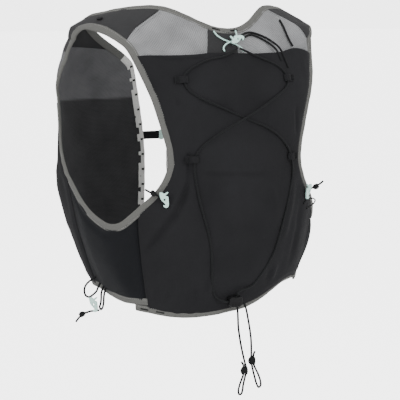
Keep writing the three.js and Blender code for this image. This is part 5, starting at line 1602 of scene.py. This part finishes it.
def make_strap():
    face = -TORSO_SET_FORWARD - FRONT_DEPTH - STRAP_OFF
    height = STRAP_LIFT * VEST_HEIGHT

    def webbing(name, start, end):
        rings = []
        half = STRAP_WIDTH / 2
        for share in np.linspace(0, 1, 40):
            x = start + (end - start) * share
            bow = 0.25 * math.sin(share * 5.0)
            section = [(-half, 0.3), (-half + 0.4, 0), (half - 0.4, 0), (half, 0.3),
                       (half, STRAP_WALL - 0.3), (half - 0.4, STRAP_WALL),
                       (-half + 0.4, STRAP_WALL), (-half, STRAP_WALL - 0.3)]
            rings.append([(x, face - thick + bow * 0.3, height + z) for z, thick in section])
        dress(loft(name, np.array(rings), finish("webbing")), "webbing", name)

    webbing("sternum_strap_left", STRAP_REACH, BUCKLE_LEFT + CLEARANCE)
    webbing("sternum_strap_right", BUCKLE_RIGHT - CLEARANCE, -STRAP_REACH)
    centre = ((BUCKLE_LEFT + BUCKLE_RIGHT) / 2, face - BUCKLE_THICKNESS / 2, height)
    seat = Seat(centre, (0, -1, 0))
    half, high = (BUCKLE_LEFT - BUCKLE_RIGHT) / 2, BUCKLE_HEIGHT / 2
    frame_outline = rounded([(-half, -high), (half, -high), (half, high), (-half, high)], 2)
    body = plate("buckle_body", frame_outline, BUCKLE_THICKNESS, 0.8, seat, finish("mint"))
    bars = [body]
    for x in (-half * 0.45, half * 0.45):
        heights = np.linspace(-high + 1.6, high - 1.6, 6)
        path = [seat.point(x, y, BUCKLE_THICKNESS / 2 - 0.2) for y in heights]
        bar, _ = cord_tube("buckle_bar", path, 1.1, finish("mint"), 0.6, 10)
        bars.append(bar)
    dress(join_meshes("sternum_buckle", bars), "mint_plastic", "sternum_buckle")


# Bindings, strips and their stitching


def make_bindings(edges):
    """Bind every edge and add the front strips. Returns the places of each edge by name."""
    rows = {}
    for side, _, raise_ in SIDES:
        turned = side == "right"
        armhole = trace(LEFT_ARMHOLE + LEFT_ARMHOLE[:1], 620)
        rows["armhole_" + side] = binding(f"armhole_binding_{side}", armhole, True, 1.1, turned)
        hem = trace([(t, h + raise_) for t, h in SIDE_HEM], 300)
        run = between(hem, SIDE_HEM[0][:1] + (SIDE_HEM[0][1] + raise_,),
                      (SIDE_SEAM_TURN, -0.957 + raise_), 260)
        rows["hem_" + side] = binding(f"hem_binding_{side}", run, False, 2.3, turned)
        strip = between(edges.neck_front, HALF_NECKLINE[-1], (-76, -0.925 + raise_), 400)
        rows["strip_" + side] = make_strip(side, strip, turned)
    half = between(edges.neck_front, HALF_NECKLINE[0], HALF_NECKLINE[-1], 280)
    neck = joined(mirrored(half)[::-1], half)
    rows["neck"] = binding("neckline_binding", neck, False, 4.2, False)
    back = between(edges.back_hem, (BACK_HEM_START, -0.984), (180 - SIDE_SEAM_TURN, -0.908), 420)
    rows["hem_back"] = binding("hem_binding_back", back, False, 3.7, False)
    return rows


def make_strip(side, places, turned):
    """Flat strip down the front edge that stands up in a row of loops between its bartacks."""
    if turned:
        places = mirrored(places)[::-1]
    rise = bpy.context.scene.vest_sizes.strip_rise / MM
    section = [(STRIP_WIDTH, -0.5), (STRIP_WIDTH - 0.3, -0.7), (0.3, -0.7), (0, -0.5),
               (0, 0.5), (0.3, 0.7), (STRIP_WIDTH - 0.3, 0.7), (STRIP_WIDTH, 0.5)]

    def ripple(share, across, off):
        loops = np.abs(np.sin(math.pi * STRIP_LOOPS * share))
        width = 0.97 + 0.03 * loops
        return width, rise * loops
    obj = band(f"front_strip_{side}", "strip", places, section, False, ripple)
    dress(obj, "binding", f"front_strip_{side}")
    return places


def stitch_tree():
    """Lays one rounded stitch on every point, along its way and flat to its up direction."""
    tree = bpy.data.node_groups.new("laid_stitches", "GeometryNodeTree")
    face = tree.interface
    face.new_socket("Geometry", in_out="INPUT", socket_type="NodeSocketGeometry")
    for name in ("Length", "Width", "Height"):
        face.new_socket(name, in_out="INPUT", socket_type="NodeSocketFloat")
    face.new_socket("Material", in_out="INPUT", socket_type="NodeSocketMaterial")
    face.new_socket("Geometry", in_out="OUTPUT", socket_type="NodeSocketGeometry")
    new, link = tree.nodes.new, tree.links.new
    start, end = new("NodeGroupInput"), new("NodeGroupOutput")
    bead = new("GeometryNodeMeshUVSphere")
    bead.inputs["Segments"].default_value = 8
    bead.inputs["Rings"].default_value = 6
    bead.inputs["Radius"].default_value = 0.5
    size = new("ShaderNodeCombineXYZ")
    for axis, name in zip("XYZ", ("Length", "Width", "Height")):
        link(start.outputs[name], size.inputs[axis])
    shaped = new("GeometryNodeTransform")
    link(bead.outputs["Mesh"], shaped.inputs["Geometry"])
    link(size.outputs["Vector"], shaped.inputs["Scale"])
    turn = None
    for name, axis in (("up", "Z"), ("way", "X")):
        read = new("GeometryNodeInputNamedAttribute")
        read.data_type = "FLOAT_VECTOR"
        read.inputs["Name"].default_value = name
        align = new("FunctionNodeAlignRotationToVector")
        align.axis = axis
        if turn is not None:
            align.pivot_axis = "Z"
            link(turn.outputs["Rotation"], align.inputs["Rotation"])
        link(read.outputs["Attribute"], align.inputs["Vector"])
        turn = align
    vary = new("FunctionNodeRandomValue")
    vary.data_type = "FLOAT"
    vary.inputs[2].default_value = 0.88
    vary.inputs[3].default_value = 1.06
    vary.inputs["Seed"].default_value = 7
    lay = new("GeometryNodeInstanceOnPoints")
    link(start.outputs["Geometry"], lay.inputs["Points"])
    link(shaped.outputs["Geometry"], lay.inputs["Instance"])
    link(turn.outputs["Rotation"], lay.inputs["Rotation"])
    link(vary.outputs[1], lay.inputs["Scale"])
    real = new("GeometryNodeRealizeInstances")
    paint = new("GeometryNodeSetMaterial")
    link(lay.outputs["Instances"], real.inputs["Geometry"])
    link(real.outputs["Geometry"], paint.inputs["Geometry"])
    link(start.outputs["Material"], paint.inputs["Material"])
    link(paint.outputs["Geometry"], end.inputs["Geometry"])
    return tree


def lay_stitches(name, rows, length, width, height, kind, slot):
    """Stitches at rows of (points, ways, ups), all as one plain mesh."""
    points, ways, ups = (np.concatenate(part) for part in zip(*rows))
    mesh = bpy.data.meshes.new(name + "_points")
    mesh.from_pydata((points * MM).tolist(), [], [])
    for key, values in (("way", ways), ("up", ups)):
        layer = mesh.attributes.new(key, "FLOAT_VECTOR", "POINT")
        layer.data.foreach_set("vector", values.ravel())
    holder = new_object(name + "_points", mesh)
    tree = bpy.data.node_groups.get("laid_stitches") or stitch_tree()
    modifier = holder.modifiers.new("stitches", "NODES")
    modifier.node_group = tree
    values = {"Length": length, "Width": width, "Height": height, "Material": finish(kind)}
    for item in tree.interface.items_tree:
        if item.item_type == "SOCKET" and item.in_out == "INPUT" and item.name in values:
            value = values[item.name]
            modifier[item.identifier] = value * MM if isinstance(value, float) else value
    bpy.context.view_layer.update()
    graph = bpy.context.evaluated_depsgraph_get()
    result = bpy.data.meshes.new_from_object(holder.evaluated_get(graph))
    holder.modifiers.remove(modifier)
    bpy.data.objects.remove(holder)
    result.name = name
    result.polygons.foreach_set("use_smooth", [True] * len(result.polygons))
    obj = new_object(name, result)
    return dress(obj, slot)


def bartack(seat_point, way, up, count, spread):
    """A dense block of stitches across a seam: points, ways and ups."""
    side = unit(np.cross(up, way))
    shift = np.linspace(-spread / 2, spread / 2, count)
    points = seat_point + side * shift[:, None]
    return points, np.broadcast_to(way, (count, 3)), np.broadcast_to(up, (count, 3))


def along_edge(places, share, across, off):
    """Point, outward direction and sideways direction at a share of a run beside an edge."""
    points, side = sideways(places)
    turn, lift = chart_of(points + side * across)
    row = off_surface(turn, lift, off)
    lengths = run_length(row)
    at = at_lengths(row, lengths, np.array([share * lengths[-1]]))[0]
    nearest = int(np.argmin(np.linalg.norm(row - at, axis=1)))
    nearest = min(max(nearest, 1), len(row) - 2)
    return at, outward(at[None])[0], unit(side[nearest])


def make_stitching(rows):
    """Sew the bindings, strips, seams, pocket mouth and lace loops."""
    sizes = bpy.context.scene.vest_sizes
    length, pitch = sizes.stitch_length / MM, sizes.stitch_pitch / MM
    seams = []
    for key, places in rows.items():
        if key.startswith("strip"):
            continue
        seams.append(stitch_runs(places, BINDING_STITCH_ACROSS, BINDING_STITCH_OFF, pitch))
    lay_stitches("binding_stitches", seams, length, 0.42, 0.34, "grey_thread", "binding")

    tacks = []
    for key, shares in BINDING_TACKS.items():
        for share in shares:
            at, up, side = along_edge(rows[key], share, BINDING_TACK_ACROSS, BINDING_TACK_OFF)
            tacks.append(bartack(at, side, up, BINDING_TACK_STITCHES, TACK_LENGTH))
    lay_stitches("binding_bartacks", tacks, 2.3, 0.55, 0.5, "black_thread", "binding")
    tacks = []
    for side_name in ("left", "right"):
        places = rows["strip_" + side_name]
        for loop in range(1, STRIP_LOOPS):
            for off in (STRIP_TACK_OFF, -STRIP_TACK_OFF):
                at, up, side = along_edge(places, loop / STRIP_LOOPS, STRIP_TACK_ACROSS, off)
                tacks.append(bartack(at, side, up, 7, 2.0))
    lay_stitches("strip_bartacks", tacks, 4.2, 0.44, 0.5, "black_thread", "binding")

    seams = [seam_row(straight((SIDE_SEAM_TURN, -0.672), (SIDE_SEAM_TURN, -0.945), 60), pitch, shift)
             for shift in (-1.6, 1.6)]
    seams += [seam_row(mirrored(straight((SIDE_SEAM_TURN, -0.672), (SIDE_SEAM_TURN, -0.90), 60)),
                       pitch, shift) for shift in (-1.6, 1.6)]
    for _, place, _ in SIDES:
        yoke = place(straight(YOKE_AT_NECK, YOKE_AT_ARM, 60))
        seams += [seam_row(yoke, pitch, shift) for shift in (-1.6, 1.6)]
    mouth = trace(POCKET_MOUTH, 120)
    seams += [mouth_row(mouth, pitch, 3.2), mouth_row(mouth, pitch, 5.0)]
    lay_stitches("seam_stitches", seams, length, 0.4, 0.3, "black_thread", "ripstop")

    loops = []
    for _, turn, lift, outer_side in LACE_LOOPS:
        base = float(pocket_outer(np.array(turn), np.array(lift)))
        seat = cloth_seat(turn, lift, base)
        for across in (9.6, 7.0, -4.4):
            at = seat.point(across * outer_side, 0, LOOP_SEAT + 0.85)
            loops.append(bartack(at, seat.up, seat.out, 5, 1.2))
    lay_stitches("loop_stitches", loops, 7.0, 0.4, 0.4, "black_thread", "webbing")


def seam_row(places, pitch, across):
    return stitch_runs(places, across, PANEL_WALL + 0.1, pitch)


def mouth_row(places, pitch, down):
    points, side = sideways(places)
    side = np.where(side[:, 2:] > 0, -side, side)
    turn, lift = chart_of(points + side * down)
    return stitched(off_surface(turn, lift, pocket_outer(turn, lift) + MOUTH_STITCH_OFF), pitch)


# Camera, light and floor

def make_camera():
    camera = bpy.data.cameras.new("photo_camera")
    camera.lens = CAMERA_LENS
    camera.sensor_width = 36
    camera.clip_end = 60
    holder = new_object("photo_camera", camera)
    around, up = math.radians(CAMERA_AZIMUTH), math.radians(CAMERA_ELEVATION)
    away = Vector((math.sin(around) * math.cos(up), -math.cos(around) * math.cos(up), math.sin(up)))
    holder.location = Vector(CAMERA_TARGET) + away * CAMERA_DISTANCE
    holder.rotation_euler = (-away).to_track_quat("-Z", "Y").to_euler()
    bpy.context.scene.camera = holder


def soft_light(name, place, size, power, aim=(0, 0, -0.2)):
    light = bpy.data.lights.new(name, "AREA")
    light.shape = "SQUARE"
    light.size = size
    light.energy = power
    holder = new_object(name, light)
    holder.location = place
    way = Vector(aim) - Vector(place)
    holder.rotation_euler = way.to_track_quat("-Z", "Y").to_euler()


def make_lights(power):
    around = math.radians(CAMERA_AZIMUTH)
    towards = Vector((math.sin(around), -math.cos(around), 0))
    left = Vector((-towards.y, towards.x, 0)) * -1
    soft_light("front_light", towards * 2.2 + left * -1.6 + Vector((0, 0, 1.0)), 1.6, FRONT_POWER * power)
    soft_light("side_light", towards * 1.5 + left * 2.0 + Vector((0, 0, 0.8)), 1.6, SIDE_POWER * power)
    soft_light("top_light", Vector((0, 0, 2.2)), 2.0, TOP_POWER * power)
    world = bpy.data.worlds.new("white_studio")
    bpy.context.scene.world = world
    world.use_nodes = True
    world.node_tree.nodes["Background"].inputs["Color"].default_value = (1, 1, 1, 1)
    seen = world.node_tree.nodes.new("ShaderNodeLightPath").outputs["Is Camera Ray"]
    white = world.node_tree.nodes.new("ShaderNodeMapRange")
    white.inputs["To Min"].default_value = STUDIO_FILL
    white.inputs["To Max"].default_value = STUDIO_WHITE
    world.node_tree.links.new(seen, white.inputs["Value"])
    background = world.node_tree.nodes["Background"]
    world.node_tree.links.new(white.outputs["Result"], background.inputs["Strength"])


def make_floor():
    corners = [(-40, -40, 0), (40, -40, 0), (40, 40, 0), (-40, 40, 0)]
    points = np.array(corners, float) + (0, 0, FLOOR_HEIGHT)
    obj = mesh_object("studio_floor", points, [(0, 1, 2, 3)], finish("floor"), None, 1)


# Settings, steps and panel


def colour(name, description, value):
    return bpy.props.FloatVectorProperty(
        name=name, description=description, subtype="COLOR", size=3, min=0, max=1, default=value)


def distance(name, description, value, low, high):
    return bpy.props.FloatProperty(
        name=name, description=description, subtype="DISTANCE", unit="LENGTH", default=value,
        min=low, max=high, precision=4)


class VestSizes(bpy.types.PropertyGroup):
    cord_diameter: distance("Cord", "Thickness of the lacing and tails", 0.0024, 0.001, 0.003)
    stitch_length: distance("Stitch length", "Length of one stitch", 0.0021, 0.001, 0.004)
    stitch_pitch: distance("Stitch step", "From one stitch to the next", 0.0028, 0.0015, 0.006)
    strip_rise: distance("Strip loops", "How far the front strip's loops stand up", 0.0008, 0, 0.003)
    fold_depth: bpy.props.FloatProperty(
        name="Fold depth", description="Depth of the cloth's folds as a share of the usual depth",
        default=1.0, min=0, max=1.5)


class VestLooks(bpy.types.PropertyGroup):
    # painted light: the net's own dark grey, brightened to stand in for the white studio shining through
    # it
    net: colour("Backlit net", "Colour of the yoke's open net", (0.225, 0.227, 0.232))
    inner_net: colour("Dark net", "Colour of the front panels' net", (0.115, 0.115, 0.12))
    ripstop: colour("Pocket cloth", "Colour of the pockets", (0.0125, 0.0125, 0.0137))
    # painted light: a lighter copy of the pocket cloth's colour, for the light that falls on the
    # shoulders and the neck patch
    shoulder: colour("Lit shoulder ripstop", "Colour of the shoulders and neck patch", (0.028, 0.028, 0.029))
    side: colour("Side cloth", "Colour of the stretch sides", (0.0085, 0.009, 0.0105))
    binding: colour("Binding", "Colour of the bound edges", (0.108, 0.108, 0.102))
    strip: colour("Front strip", "Colour of the front strips", (0.54, 0.54, 0.52))
    webbing: colour("Webbing", "Colour of straps and loops", (0.011, 0.011, 0.012))
    cord: colour("Cord", "Colour of the lacing", (0.010, 0.0105, 0.011))
    mint: colour("Hooks", "Colour of the plastic hooks", (0.50, 0.72, 0.655))
    lock: colour("Cord lock", "Colour of the cord lock", (0.006, 0.006, 0.0065))
    thread: colour("Thread", "Colour of the grey stitching", (0.28, 0.28, 0.27))
    floor: colour("Floor", "Colour of the studio floor", (0.92, 0.92, 0.92))
    floor_glow: bpy.props.FloatProperty(
        name="Floor glow", description="White of the studio as the camera sees it", default=3.2,
        min=0, max=20)
    light: bpy.props.FloatProperty(
        name="Light", description="Strength of the studio lights", default=1.0, min=0, max=4)


class VEST_OT_stage(bpy.types.Operator):
    """Add the camera, the lights and the studio floor"""

    bl_idname = "vest.stage"
    bl_label = "Stage"
    bl_options = {"REGISTER", "UNDO"}

    def execute(self, context):
        make_camera()
        make_lights(context.scene.vest_looks.light)
        make_floor()
        return {"FINISHED"}


class VEST_OT_free_cords(bpy.types.Operator):
    """Lay the cord ends and loops that hang free, with their knots"""

    bl_idname = "vest.free_cords"
    bl_label = "Free cords"
    bl_options = {"REGISTER", "UNDO"}

    def execute(self, context):
        cord = context.scene.vest_sizes.cord_diameter / MM
        make_tails(cord)
        make_side_cords(cord)
        make_hem_cords(cord)
        return {"FINISHED"}


class VEST_OT_lacing(bpy.types.Operator):
    """Lace the back pocket, with its sewn loops, cord lock and yoke cords"""

    bl_idname = "vest.lacing"
    bl_label = "Lacing"
    bl_options = {"REGISTER", "UNDO"}

    def execute(self, context):
        cord = context.scene.vest_sizes.cord_diameter / MM
        make_lacing(cord)
        make_yoke_cords(cord)
        make_lace_loops()
        make_lock()
        return {"FINISHED"}


class VEST_OT_back(bpy.types.Operator):
    """Build the net back, its pocket and the dark patch below the neckline"""

    bl_idname = "vest.back"
    bl_label = "Back and pocket"
    bl_options = {"REGISTER", "UNDO"}

    def execute(self, context):
        edges = Edges()
        make_back_panel(edges)
        make_back_pocket(edges)
        make_neck_patch(edges)
        return {"FINISHED"}


class VEST_OT_fronts(bpy.types.Operator):
    """Build the shoulders, front panels, front pockets and stretch sides"""

    bl_idname = "vest.fronts"
    bl_label = "Fronts and sides"
    bl_options = {"REGISTER", "UNDO"}

    def execute(self, context):
        edges = Edges()
        for side, place, raise_ in SIDES:
            make_front(edges, side, place, raise_)
        return {"FINISHED"}


class VEST_OT_bindings(bpy.types.Operator):
    """Bind the edges, add the front strips and sew everything down"""

    bl_idname = "vest.bindings"
    bl_label = "Bindings and stitching"
    bl_options = {"REGISTER", "UNDO"}

    def execute(self, context):
        make_stitching(make_bindings(Edges()))
        return {"FINISHED"}


class VEST_OT_hardware(bpy.types.Operator):
    """Add the plastic hooks, the sewn tab and the strap across the front"""

    bl_idname = "vest.hardware"
    bl_label = "Hooks and strap"
    bl_options = {"REGISTER", "UNDO"}

    def execute(self, context):
        make_hooks()
        make_tab()
        make_strap()
        return {"FINISHED"}


STEPS = (VEST_OT_stage, VEST_OT_free_cords, VEST_OT_lacing, VEST_OT_back, VEST_OT_fronts,
         VEST_OT_bindings, VEST_OT_hardware)


class VEST_PT_panel(bpy.types.Panel):
    """Sizes, colours and steps of the vest"""

    bl_idname = "VEST_PT_panel"
    bl_label = "Running vest"
    bl_space_type = "VIEW_3D"
    bl_region_type = "UI"
    bl_category = "Vest"

    def draw(self, context):
        for settings in (context.scene.vest_sizes, context.scene.vest_looks):
            box = self.layout.box()
            for key in settings.__annotations__:
                box.prop(settings, key)
        for step in STEPS:
            self.layout.operator(step.bl_idname)


CLASSES = (VestSizes, VestLooks, *STEPS, VEST_PT_panel)


def register():
    for each in CLASSES:
        bpy.utils.register_class(each)
    bpy.types.Scene.vest_sizes = bpy.props.PointerProperty(type=VestSizes)
    bpy.types.Scene.vest_looks = bpy.props.PointerProperty(type=VestLooks)


def unregister():
    del bpy.types.Scene.vest_looks
    del bpy.types.Scene.vest_sizes
    for each in reversed(CLASSES):
        bpy.utils.unregister_class(each)


def main():
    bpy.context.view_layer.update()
    register()
    bpy.ops.vest.stage()
    bpy.ops.vest.free_cords()
    bpy.ops.vest.lacing()
    bpy.ops.vest.back()
    bpy.ops.vest.fronts()
    bpy.ops.vest.bindings()
    bpy.ops.vest.hardware()
    bpy.context.view_layer.update()


if __name__ == "__main__":
    main()
